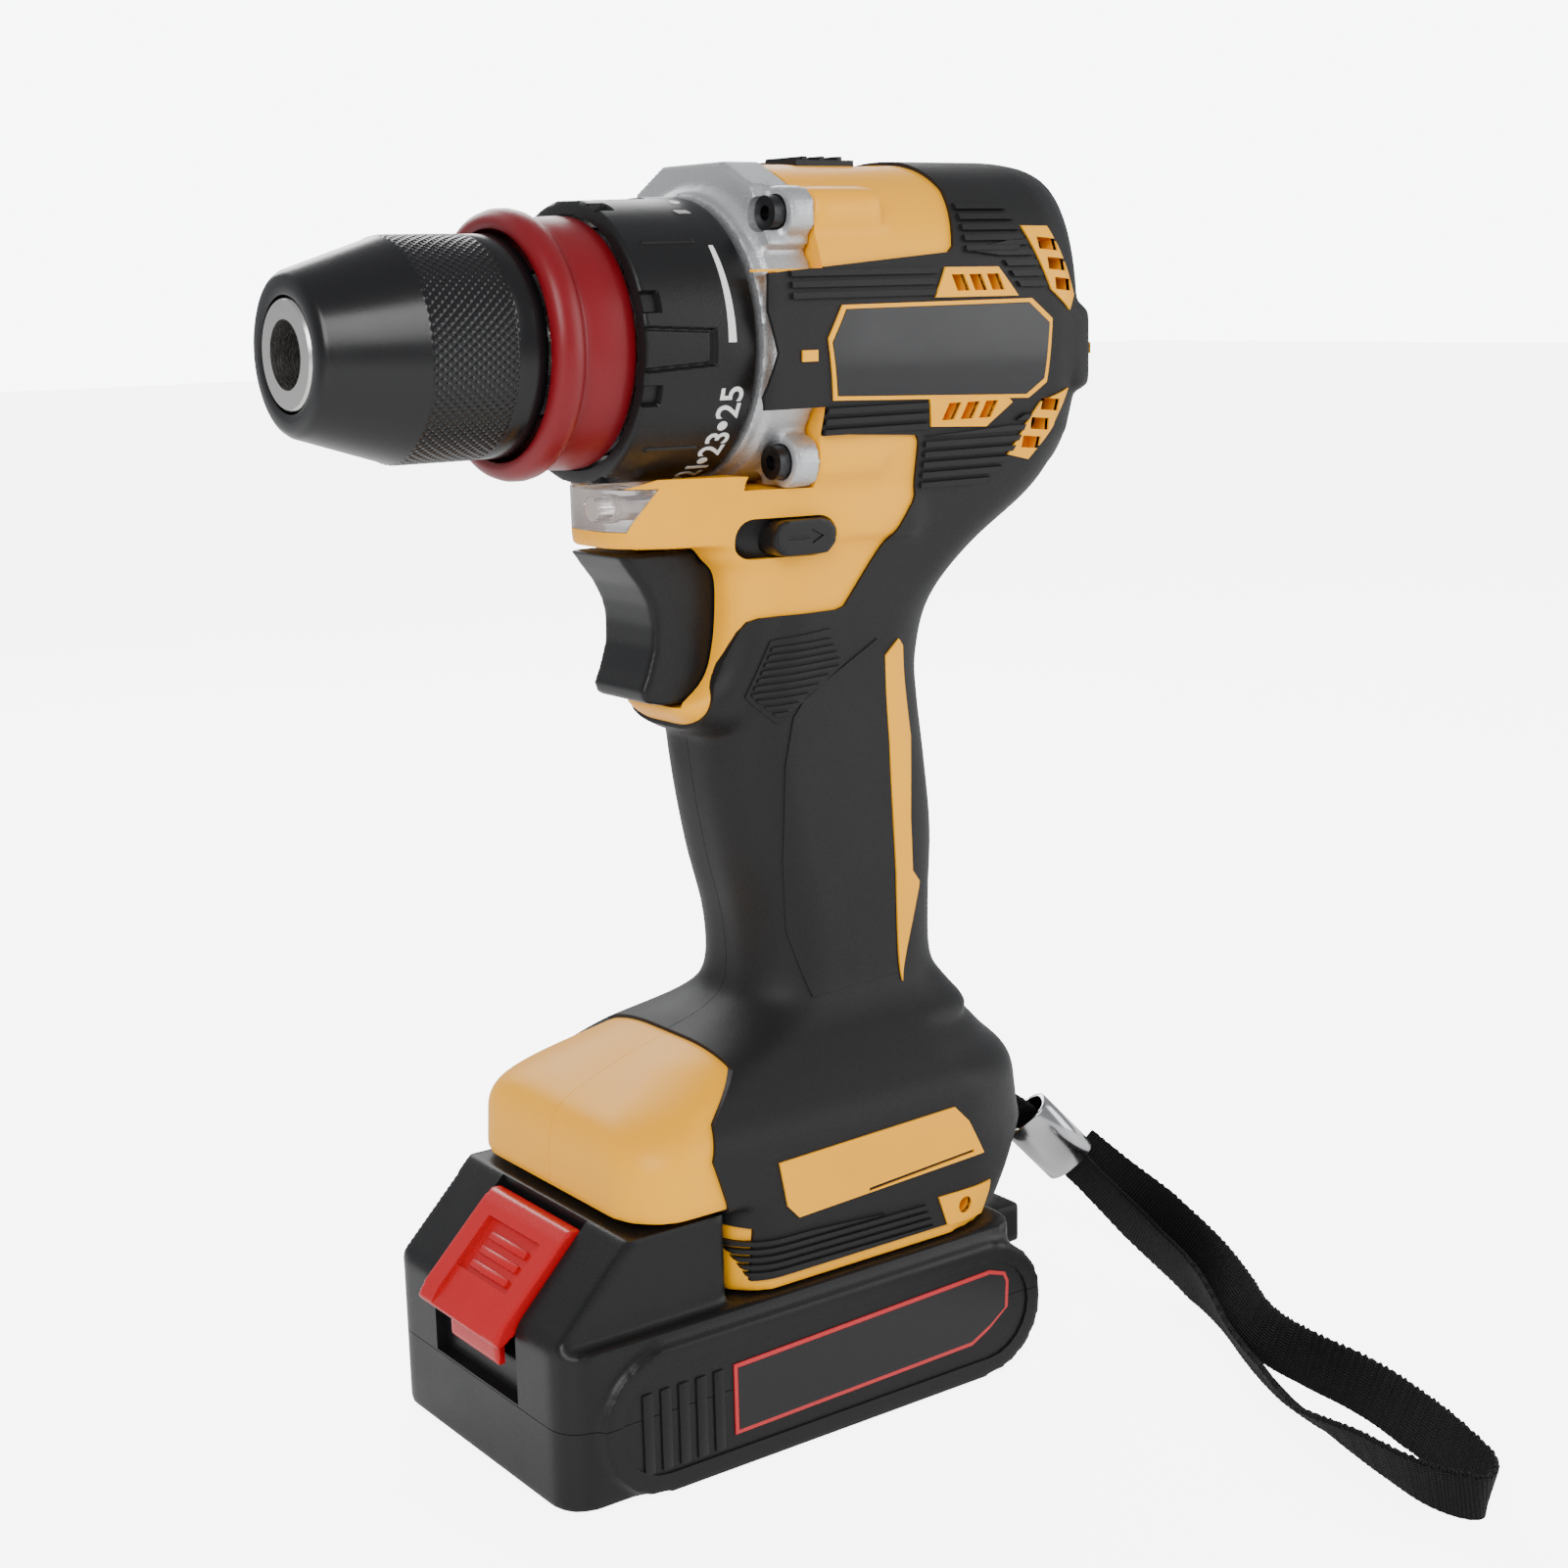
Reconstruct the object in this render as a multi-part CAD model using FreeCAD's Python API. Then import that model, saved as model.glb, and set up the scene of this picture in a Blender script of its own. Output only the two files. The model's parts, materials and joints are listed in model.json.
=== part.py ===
import FreeCAD, Part
import math
import os

os.makedirs("parts", exist_ok=True)

# Cordless drill driver, in millimetres. +Z is up and +X is the rear of the tool, so the chuck points
# along -X. The origin is on the surface that the battery stands on, at the middle of the battery base.

# ---- driving dimensions -------------------------------------------------------------------------
AXIS_Z = 228.0           # height of the spindle, gears and motor above the standing surface
WALL = 2.4               # moulded wall of the yellow housing
RUBBER = 1.6             # thickness of the rubber overmould on the housing
GAP = 0.3                # play between moving pieces that are not a shaft fit
FIT = 0.05               # radial play of a shaft in its hole

CHUCK_R = 21.5           # grip sleeve of the 13 mm keyless chuck
CHUCK_FRONT = -88.3
CHUCK_REAR = -44.7
BIT_R = 6.5              # the chuck opens to 13 mm
NOSE_BORE = 10.0         # length of the bore before it widens round the jaws
JAW_ANGLE = 20.0         # degrees between a jaw and the spindle
JAW_TRAVEL = 16.8        # along the jaw, from 13 mm open to 1.5 mm
JAW_R = 3.5
JAW_LENGTH = 24.0
JAW_START_R = -1.0       # radius where a closed jaw's axis meets the nose plane

RING_FRONT = -45.3       # quick-release ring
RING_REAR = -27.0
COLLAR_FRONT = -27.5     # torque collar
COLLAR_REAR = -1.9
COLLAR_R = 28.3
FLANGE_REAR = 13.0       # silver gearbox cover
SCREW_Y = 23.4           # cover screws, from the spindle's vertical plane
SCREW_DZ = 24.3          # cover screws, above and below the spindle
COVER_SCREWS = [(y, dz) for y in (-SCREW_Y, SCREW_Y) for dz in (-SCREW_DZ, SCREW_DZ)]

MODULE = 0.8             # gears of both planetary stages
SUN_TEETH = 15
PLANET_TEETH = 15
RING_TEETH = 45
PRESSURE_ANGLE = math.radians(20)
ADDENDUM = 0.64
RING_ADDENDUM = 0.5
DEDENDUM = 0.8
BACKLASH = 0.1           # taken off each tooth at the pitch circle
PLANET_ANGLES = (90, 210, 330)
PIN_R = 1.5

BATTERY_HALF_Y = 36.5
BATTERY_FRONT = -60.0
BATTERY_REAR = 58.0
BATTERY_TOP = 34.0
SEAM_Z = 17.5            # joint between the two halves of the battery case
CELL_R = 9.25            # 18650 lithium-ion cells lie across the battery
CELL_LENGTH = 65.0
CELL_COUNT = 5

WEBBING_R = 2.4          # round section of the same area as 12 by 1.5 mm webbing

V = FreeCAD.Vector
ALONG = V(1, 0, 0)


# ---- helpers ------------------------------------------------------------------------------------
def save(name, *solids):
    """Writes one sub-part as parts/NAME.step."""
    shape = solids[0] if len(solids) == 1 else Part.makeCompound(list(solids))
    shape.exportStep("parts/" + name + ".step")
    box = shape.BoundBox
    print(f"{name:24s} {len(shape.Solids):2d} solids {shape.Volume / 1000:8.2f} cm3"
          f"  x {box.XMin:7.1f} {box.XMax:7.1f}  y {box.YMin:6.1f} {box.YMax:6.1f}"
          f"  z {box.ZMin:6.1f} {box.ZMax:6.1f}  valid {shape.isValid()}")


def block(x0, x1, y0, y1, z0, z1):
    return Part.makeBox(x1 - x0, y1 - y0, z1 - z0, V(x0, y0, z0))


def rod(radius, x0, x1, y=0.0, z=AXIS_Z):
    """A cylinder along X, by default round the spindle axis."""
    return Part.makeCylinder(radius, x1 - x0, V(x0, y, z), ALONG)


def cross_rod(radius, y0, y1, x, z):
    """A cylinder along Y."""
    return Part.makeCylinder(radius, y1 - y0, V(x, y0, z), V(0, 1, 0))


def tube(outer, inner, x0, x1):
    return rod(outer, x0, x1).cut(rod(inner, x0 - 1, x1 + 1))


def turned(profile):
    """Turns a closed outline of (x, radius) points round the spindle axis."""
    points = [V(x, 0, AXIS_Z + r) for x, r in profile]
    face = Part.Face(Part.makePolygon(points + points[:1]))
    return face.revolve(V(0, 0, AXIS_Z), ALONG, 360)


def side_plate(outline, y0, y1):
    """A plate with an outline of (x, z) points, from y0 to y1."""
    points = [V(x, y0, z) for x, z in outline]
    return Part.Face(Part.makePolygon(points + points[:1])).extrude(V(0, y1 - y0, 0))


def cross_plate(outline, x0, x1):
    """A plate with an outline of (y, height above the spindle) points, from x0 to x1."""
    points = [V(x0, y, AXIS_Z + h) for y, h in outline]
    return Part.Face(Part.makePolygon(points + points[:1])).extrude(V(x1 - x0, 0, 0))


def level(x0, x1, half_y, corner, z):
    """A horizontal rounded rectangle, as one wire."""
    corner = min(corner, half_y - 0.5, (x1 - x0) / 2 - 0.5)
    cut = corner * (1 - math.sqrt(0.5))
    edges = []
    for sx, sy in ((1, 1), (-1, 1), (-1, -1), (1, -1)):
        x = x1 if sx > 0 else x0
        along = V(x - sx * corner, sy * half_y, z)
        across = V(x, sy * (half_y - corner), z)
        middle = V(x - sx * cut, sy * (half_y - cut), z)
        ends = (across, along) if sx == sy else (along, across)
        edges.append(Part.Arc(ends[0], middle, ends[1]).toShape())
    wire = []
    for i, arc in enumerate(edges):
        following = edges[(i + 1) % 4]
        wire.append(arc)
        wire.append(Part.makeLine(arc.Vertexes[-1].Point, following.Vertexes[0].Point))
    return Part.Wire(wire)


def lofted(levels, inset=0.0):
    """Stacks rounded rectangles (z, x0, x1, half width, corner radius), each drawn in by inset."""
    wires = [level(x0 + inset, x1 - inset, half - inset, max(corner - inset, 2), z)
             for z, x0, x1, half, corner in levels]
    return Part.makeLoft(wires, True, True)


def mirrored(shape):
    return shape.mirror(V(0, 0, 0), V(0, 1, 0))


def both_sides(shape):
    return [shape, mirrored(shape)]


def coil(radius, wire_r, start, direction, length, turns):
    """A helical spring of round wire."""
    helix = Part.makeHelix(length / turns, length, radius)
    section = Part.Wire(Part.makeCircle(wire_r, V(radius, 0, 0), V(0, 1, 0)))
    spring = Part.Wire(helix.Edges).makePipeShell([section], True, True)
    turn = FreeCAD.Rotation(V(0, 0, 1), direction)
    spring.Placement = FreeCAD.Placement(start, turn)
    return spring


def bent_tube(route, radius):
    """A tube along straight runs joined by tangent arcs; returns the tube, its length and its radii."""
    points = [V(*p) for p in route]
    edges = []
    radii = []
    at = points[0]
    for before, here, after in zip(points, points[1:], points[2:]):
        arriving = (here - before).normalize()
        leaving = (after - here).normalize()
        turn = arriving.getAngle(leaving)
        shorter = min((here - before).Length, (after - here).Length)
        reach = 0.45 * shorter
        bend = reach / math.tan(turn / 2)
        radii.append(bend)
        start = here - arriving * reach
        finish = here + leaving * reach
        inward = (leaving - arriving).normalize()
        middle = here + inward * (bend / math.cos(turn / 2) - bend)
        edges.append(Part.makeLine(at, start))
        edges.append(Part.Arc(start, middle, finish).toShape())
        at = finish
    edges.append(Part.makeLine(at, points[-1]))
    path = Part.Wire(edges)
    first = (points[1] - points[0]).normalize()
    section = Part.Wire(Part.makeCircle(radius, points[0], first))
    return path.makePipeShell([section], True, True), path.Length, radii


# ---- gears --------------------------------------------------------------------------------------
def involute(angle):
    return math.tan(angle) - angle


def gear_blank(teeth, tip_r, root_r, thinning, turn, x0, x1, centre=(0.0, 0.0)):
    """A solid of involute teeth from x0 to x1; turn is the angle of the first tooth, in degrees."""
    pitch_r = MODULE * teeth / 2
    base_r = pitch_r * math.cos(PRESSURE_ANGLE)
    half = math.pi / (2 * teeth) - thinning / (2 * pitch_r)
    low = max(base_r, root_r)
    flank = []
    for step in range(4):
        radius = low + (tip_r - low) * step / 3
        angle = half + involute(PRESSURE_ANGLE) - involute(math.acos(base_r / radius))
        flank.append((radius, angle))
    if root_r < base_r:
        flank.insert(0, (root_r, flank[0][1]))
    points = []
    for tooth in range(teeth):
        middle = math.radians(turn) + 2 * math.pi * tooth / teeth
        sides = [(r, middle - a) for r, a in flank] + [(r, middle + a) for r, a in reversed(flank)]
        points += [(centre[0] + r * math.cos(a), centre[1] + r * math.sin(a)) for r, a in sides]
    return cross_plate(points, x0, x1)


def sun_gear(x0, x1):
    pitch_r = MODULE * SUN_TEETH / 2
    return gear_blank(SUN_TEETH, pitch_r + ADDENDUM, pitch_r - DEDENDUM, BACKLASH,
                      PLANET_ANGLES[0], x0, x1)


def planet_centre(angle):
    distance = MODULE * (SUN_TEETH + PLANET_TEETH) / 2
    return (distance * math.cos(math.radians(angle)), distance * math.sin(math.radians(angle)))


def planet_gear(angle, x0, x1):
    pitch_r = MODULE * PLANET_TEETH / 2
    centre = planet_centre(angle)
    gear = gear_blank(PLANET_TEETH, pitch_r + ADDENDUM, pitch_r - DEDENDUM, BACKLASH,
                      angle, x0, x1, centre)
    return gear.cut(rod(PIN_R + FIT, x0 - 1, x1 + 1, centre[0], AXIS_Z + centre[1]))


def ring_gear(x0, x1):
    pitch_r = MODULE * RING_TEETH / 2
    spaces = gear_blank(RING_TEETH, pitch_r + DEDENDUM, pitch_r - RING_ADDENDUM, -BACKLASH / 2,
                        PLANET_ANGLES[0], x0 - 1, x1 + 1)
    return rod(GEAR_CASE_R - GAP / 3, x0, x1).cut(spaces)


def planet_pins(x0, x1):
    return [rod(PIN_R, x0, x1, y, AXIS_Z + z) for y, z in map(planet_centre, PLANET_ANGLES)]


GEAR_CASE_R = 20.4                     # bore of the gearbox
OUTPUT_PLANETS = (-15.0, -5.4)         # x of the gear pair that turns the spindle
INPUT_PLANETS = (-1.2, 8.6)            # x of the gear pair next to the motor
DISC_R = 17.0                          # planet carriers


def gears():
    carrier = rod(DISC_R, -18.6, -15.4).cut(rod(SPINDLE_R, -20, -15))
    pins = planet_pins(-15.4, OUTPUT_PLANETS[1])
    save("output_carrier", carrier.multiFuse(pins).removeSplitter())
    middle = rod(DISC_R, -4.6, -1.6).fuse(sun_gear(-14.6, -4.6))
    pins = planet_pins(-1.6, INPUT_PLANETS[1])
    save("intermediate_carrier", middle.multiFuse(pins).removeSplitter())
    for number, angle in enumerate(PLANET_ANGLES, 1):
        save(f"output_planet_gear_{number}", planet_gear(angle, *OUTPUT_PLANETS))
        save(f"input_planet_gear_{number}", planet_gear(angle, *INPUT_PLANETS))
    save("ring_gears", ring_gear(-15.0, -5.0), ring_gear(-1.0, 9.0))
    save("gearbox_back_plate", tube(GEAR_CASE_R - GAP / 3, 7.4, 10.0, 12.8))
    save("motor_pinion", sun_gear(-0.8, 9.6).cut(rod(MOTOR_SHAFT_R, -2, 11)))


# ---- chuck, spindle and front of the gearbox ----------------------------------------------------
SPINDLE_R = 6.0
MOTOR_SHAFT_R = 1.6
CHUCK_BODY_R = 17.4
NUT_SEAT = (-67.0, -57.0)


def jaw_axis(angle, travel):
    """Nose point and backward direction of a jaw's axis, closed when travel is 0."""
    out = V(0, math.cos(math.radians(angle)), math.sin(math.radians(angle)))
    lean = math.radians(JAW_ANGLE)
    back = ALONG * math.cos(lean) + out * math.sin(lean)
    nose = V(CHUCK_FRONT + 1.3, 0, AXIS_Z) + out * JAW_START_R
    return nose + back * travel, back, out


def jaw(angle):
    """One jaw: a slanted round bar with a roof-shaped gripping edge parallel to the spindle."""
    nose, back, out = jaw_axis(angle, 0)
    bar = Part.makeCylinder(JAW_R, JAW_LENGTH, nose, back)
    side = V(1, 0, 0).cross(out)
    wedge = []
    for along, half in ((0.75, 1.2), (14.0, 24.0)):
        wedge.append(V(nose.x, 0, AXIS_Z) + out * along - side * half)
        wedge.append(V(nose.x, 0, AXIS_Z) + out * along + side * half)
    corners = [wedge[0], wedge[1], wedge[3], wedge[2]]
    roof = Part.Face(Part.makePolygon(corners + corners[:1])).extrude(V(JAW_LENGTH + 2, 0, 0))
    closed = bar.common(roof)
    closed.translate(back * JAW_TRAVEL)
    return closed


def jaw_channel(angle):
    nose, back, _ = jaw_axis(angle, -6)
    return Part.makeCylinder(JAW_R + 0.1, JAW_LENGTH + JAW_TRAVEL + 10, nose, back)


def chuck():
    front, rear = NUT_SEAT
    body = turned([(CHUCK_FRONT, BIT_R), (CHUCK_FRONT, 10.0), (CHUCK_FRONT + 0.5, 10.4),
                   (-86.6, 10.4), (-70.0, CHUCK_BODY_R), (front, CHUCK_BODY_R), (front, 13.4),
                   (rear, 13.4), (rear, CHUCK_BODY_R), (-46.0, CHUCK_BODY_R), (-45.0, 15.5),
                   (-45.0, SPINDLE_R), (-54.0, SPINDLE_R), (-54.0, BIT_R + 0.6),
                   (CHUCK_FRONT + NOSE_BORE, BIT_R + 0.6), (CHUCK_FRONT + NOSE_BORE, BIT_R)])
    for angle in PLANET_ANGLES:
        body = body.cut(jaw_channel(angle))
    save("chuck_body", body)
    for number, angle in enumerate(PLANET_ANGLES, 1):
        save(f"chuck_jaw_{number}", jaw(angle))
    save("chuck_nut", turned([(front + GAP, 13.7), (front + GAP, 17.8), (rear - GAP, 17.8),
                              (rear - GAP, 13.9)]))
    sleeve = turned([(-88.0, 10.9), (-88.0, 14.6), (-86.6, 15.8), (-69.1, CHUCK_R - 0.2),
                     (-67.0, CHUCK_R), (-45.5, CHUCK_R), (CHUCK_REAR, CHUCK_R - 0.8),
                     (CHUCK_REAR, 17.8), (-69.8, 17.8), (-86.2, 10.9)])
    save("chuck_sleeve", sleeve)
    spindle = rod(SPINDLE_R, -54.0, -15.4).fuse(rod(SPINDLE_R + 1.5, -25.5, -22.0))
    save("spindle", spindle.removeSplitter())


def disc_springs(fronts, inner, outer, rise):
    """Conical spring washers, one behind another."""
    return [turned([(x, inner), (x + 0.9, inner), (x + 0.9 + rise, outer), (x + rise, outer)])
            for x in fronts]


def gearbox_front():
    nose = turned([(-36.0, 9.6), (-36.0, 14.0), (-23.0, 14.0), (-23.0, 22.2), (-7.0, 22.2),
                   (-7.0, 24.7), (-1.0, 24.7), (-1.0, 29.2), (1.5, 29.2), (1.5, 30.0),
                   (FLANGE_REAR, 30.0), (FLANGE_REAR, GEAR_CASE_R), (-20.0, GEAR_CASE_R),
                   (-20.0, 9.6)])
    crown = cross_plate([(-19.0, 22.0), (-19.0, 31.0), (-8.6, 36.0), (8.6, 36.0), (19.0, 31.0),
                         (19.0, 22.0)], 2.0, FLANGE_REAR)
    lugs = []
    holes = []
    for y, dz in COVER_SCREWS:
        lugs.append(rod(5.4, 7.5, FLANGE_REAR, y, AXIS_Z + dz))
        holes.append(rod(2.05, 0.0, FLANGE_REAR + 1, y, AXIS_Z + dz))
        holes.append(rod(3.7, 0.0, 7.5, y, AXIS_Z + dz))
    bore = rod(GEAR_CASE_R, -20.0, FLANGE_REAR + 1)
    cover = nose.multiFuse([crown] + lugs).cut(Part.makeCompound(holes)).cut(bore)
    save("gearbox_cover", cover.removeSplitter())
    screws = []
    for y, dz in COVER_SCREWS:
        cap = rod(3.4, 4.0, 7.5, y, AXIS_Z + dz).cut(rod(1.5, 3.0, 5.8, y, AXIS_Z + dz))
        screws.append(cap.fuse(rod(1.9, 7.5, 27.0, y, AXIS_Z + dz)))
    save("cover_screws", *screws)
    save("spindle_bearing", tube(9.6, SPINDLE_R + FIT, -34.5, -27.0))
    save("torque_collar", turned([(COLLAR_FRONT, 25.0), (COLLAR_FRONT, 27.4), (-26.5, 28.0),
                                  (COLLAR_REAR, COLLAR_R), (COLLAR_REAR, 25.0)]))
    save("clutch_nut", tube(25.0, 22.4, -21.5, -17.5))
    save("clutch_spring", *disc_springs((-17.4, -14.6, -11.8), 22.4, 24.6, 1.4))
    save("release_ring", turned([(RING_FRONT, 22.4), (RING_FRONT, 25.2), (-44.3, 26.0),
                                 (-39.4, 26.0), (-38.2, 24.5), (RING_REAR, 24.5),
                                 (RING_REAR, 22.6), (-33.0, 22.6), (-33.0, 14.0 + GAP),
                                 (-35.5, 14.0 + GAP), (-35.5, 22.4)]))
    save("release_spring", *disc_springs((-32.3, -29.4, -26.5), 14.6, 19.4, 1.8))


# ---- motor --------------------------------------------------------------------------------------
MOTOR_R = 18.3
MOTOR_FRONT = 13.4
MOTOR_REAR = 68.0


def motor():
    can = turned([(MOTOR_FRONT, 6.0), (MOTOR_FRONT, MOTOR_R), (MOTOR_REAR, MOTOR_R),
                  (MOTOR_REAR, 17.0), (15.0, 17.0), (15.0, 6.0)])
    save("motor_can", can)
    arc = tube(17.0, 14.9, 22.0, 58.0)
    gap = block(20.0, 60.0, -30.0, 30.0, AXIS_Z - 5.0, AXIS_Z + 5.0)
    save("motor_magnets", *arc.cut(gap).Solids)
    core = rod(14.3, 25.0, 52.0)
    for slot in range(12):
        angle = math.radians(30 * slot)
        y, z = 11.0 * math.cos(angle), 11.0 * math.sin(angle)
        core = core.cut(rod(1.6, 20.0, 60.0, y, AXIS_Z + z))
    save("armature", core.cut(rod(MOTOR_SHAFT_R, 20.0, 60.0)))
    save("motor_shaft", rod(MOTOR_SHAFT_R, -0.8, 79.5), tube(4.2, MOTOR_SHAFT_R, 56.0, 65.0))
    save("motor_bearings", tube(6.0, MOTOR_SHAFT_R + FIT, MOTOR_FRONT, 18.0),
         tube(6.0, MOTOR_SHAFT_R + FIT, 66.5, 70.5))
    cap = turned([(MOTOR_REAR - 3.0, 6.0), (MOTOR_REAR - 3.0, 17.0), (MOTOR_REAR, 17.0),
                  (MOTOR_REAR, MOTOR_R), (MOTOR_REAR + 2.5, MOTOR_R), (MOTOR_REAR + 2.5, 6.0)])
    save("motor_end_cap", cap)
    brush = block(57.5, 63.5, 4.3, 13.0, AXIS_Z - 2.5, AXIS_Z + 2.5)
    save("carbon_brushes", *both_sides(brush))
    fan = rod(5.0, 71.5, 79.0)
    fan = fan.fuse(rod(16.5, 71.5, 72.7))
    blades = []
    for blade in range(9):
        fin = block(72.7, 78.5, -0.6, 0.6, AXIS_Z + 4.5, AXIS_Z + 16.0)
        fin.rotate(V(75.0, 0, AXIS_Z), ALONG, 40 * blade)
        blades.append(fin)
    fan = fan.multiFuse(blades).cut(rod(MOTOR_SHAFT_R, 70.0, 80.0))
    save("cooling_fan", fan.removeSplitter())


# ---- housing ------------------------------------------------------------------------------------
# Levels of the handle and foot: height, front x, rear x, half width, corner radius.
HANDLE = [(80.0, -20.0, 62.0, 25.0, 17.0), (85.0, -2.0, 58.5, 20.5, 15.0),
          (91.0, 6.0, 55.5, 18.0, 14.0), (104.0, 5.2, 55.4, 17.6, 14.0),
          (120.0, 1.4, 55.9, 17.9, 14.0), (136.0, -1.6, 54.4, 18.2, 14.5),
          (150.0, -3.0, 52.4, 18.8, 15.0), (160.0, -2.6, 51.6, 19.8, 15.5),
          (172.0, -1.4, 54.5, 21.5, 16.0), (183.0, -1.0, 65.0, 22.8, 16.0),
          (195.0, -0.6, 81.0, 25.5, 16.0), (207.3, -0.4, 93.0, 29.3, 16.0)]
FOOT_TOP = [(54.6, -41.5, 74.0, 36.0, 13.0), (68.0, -40.5, 72.0, 35.5, 13.0),
            (73.5, -36.5, 68.0, 31.0, 15.0), (80.0, -20.0, 62.0, 25.0, 17.0)]
FOOT_LOW = [(34.5, -18.0, 65.0, 35.6, 11.0), (54.6, -18.0, 74.0, 36.0, 11.0)]
# Half of the head's plan outline, from the nose back.
HEAD_PLAN = [(-26.0, 0.0), (-25.6, 6.0), (-23.0, 11.5), (-16.0, 16.5), (-6.0, 20.6), (6.0, 23.6),
             (22.0, 26.0), (40.0, 26.0)]
HEAD_Z = (186.6, 206.0)
# Ends of the motor housing: x and share of the full section.
BARREL = [(-2.0, 1.0), (86.0, 1.0), (96.0, 0.95), (103.0, 0.8), (106.5, 0.6)]
BARREL_HALF_Y = 32.0
BARREL_HALF_Z = 35.5
# Side outline of the rubber overmould.
RUBBER_OUTLINE = [(-20.5, 72.5), (-10.0, 80.0), (-8.0, 152.0), (-3.9, 161.1), (2.9, 172.1),
                  (22.4, 172.3), (39.1, 195.0), (37.6, 207.6), (5.0, 209.5), (-3.0, 212.0),
                  (-3.0, 241.0), (11.3, 241.6), (46.4, 244.8), (50.6, 256.8), (50.0, 275.0),
                  (115.0, 275.0), (115.0, 150.0), (85.0, 120.0), (85.0, 37.5), (-14.0, 37.5),
                  (-23.0, 66.0)]
LIP_OUTLINE = [(-20.0, 154.0), (-15.0, 151.0), (4.0, 149.0), (4.0, 154.0)]
TRIGGER_HALF_Y = 9.8
LEVER_Z = (184.6, 192.2)
HOUSING_SCREWS = [(88.0, 247.0), (84.0, 207.0), (38.0, 190.0), (6.0, 150.5), (47.0, 120.0),
                  (12.0, 98.0), (-30.0, 62.0), (62.0, 62.0)]


def barrel(inset):
    wires = []
    for x, share in BARREL:
        tall = BARREL_HALF_Z * share - inset
        wide = BARREL_HALF_Y * share - inset
        at = min(x, BARREL[-1][0] - inset)
        section = Part.Ellipse(V(at, 0, AXIS_Z + tall), V(at, wide, AXIS_Z), V(at, 0, AXIS_Z))
        wires.append(Part.Wire(section.toShape()))
    return Part.makeLoft(wires, True, True)


def head(inset, top):
    half = [(x + inset, y - inset if y else 0.0) for x, y in HEAD_PLAN]
    outline = half + [(x, -y) for x, y in reversed(half[1:])]
    points = [V(x, y, HEAD_Z[0] + inset) for x, y in outline]
    return Part.Face(Part.makePolygon(points + points[:1])).extrude(V(0, 0, top - HEAD_Z[0] - inset))


def tool_form(inset):
    """The outside of motor housing, head, handle and foot, drawn in by inset."""
    pieces = [lofted(HANDLE, inset), lofted(FOOT_TOP, inset), head(inset, HEAD_Z[1])]
    form = barrel(inset).multiFuse(pieces)
    return form


def cover_room():
    """Space that the gearbox cover and the torque collar take out of the housing."""
    room = rod(30.0, -40.0, FLANGE_REAR)
    cradle = rod(COLLAR_R + 0.9, -40.0, -1.0)
    above = block(-40.0, FLANGE_REAR, -50.0, 50.0, AXIS_Z + 13.5, AXIS_Z + 60.0)
    below = block(-1.0, FLANGE_REAR, -50.0, 50.0, AXIS_Z - 32.0, AXIS_Z - 13.5)
    return room.multiFuse([cradle, above, below])


def foot_channel():
    """T-shaped way for the battery's rails, open at the front."""
    neck = block(-19.0, 56.0, -23.5, 23.5, 33.0, 40.2)
    ears = block(-19.0, 56.0, -27.5, 27.5, 39.8, 50.6)
    return neck.fuse(ears)


def vents():
    """Slanted air slots in both sides of the rear of the motor housing."""
    slots = []
    for x, z in ((45.0, 238.0), (50.0, 238.0), (55.0, 238.0), (45.0, 211.5), (50.0, 211.5),
                 (55.0, 211.5)):
        slots.append(block(x, x + 3.2, -40.0, 40.0, z - 1.8, z + 1.8))
    for x, z in ((73.0, 237.5), (73.0, 242.0), (73.0, 246.5), (72.0, 204.5), (72.0, 209.0),
                 (72.0, 213.0)):
        slots.append(block(x - 3.0, x + 3.0, -40.0, 40.0, z - 1.4, z + 1.4))
    return Part.makeCompound(slots)


def button_outline(grow):
    """The stadium of the direction lever's opening, as (x, z) points."""
    low, high = LEVER_Z
    middle = (low + high) / 2
    radius = (high - low) / 2 + grow
    points = []
    for step in range(13):
        angle = math.radians(-90 + 15 * step)
        points.append((15.2 + radius * math.cos(angle), middle + radius * math.sin(angle)))
    for step in range(13):
        angle = math.radians(90 + 15 * step)
        points.append((6.8 + radius * math.cos(angle), middle + radius * math.sin(angle)))
    return points


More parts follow.
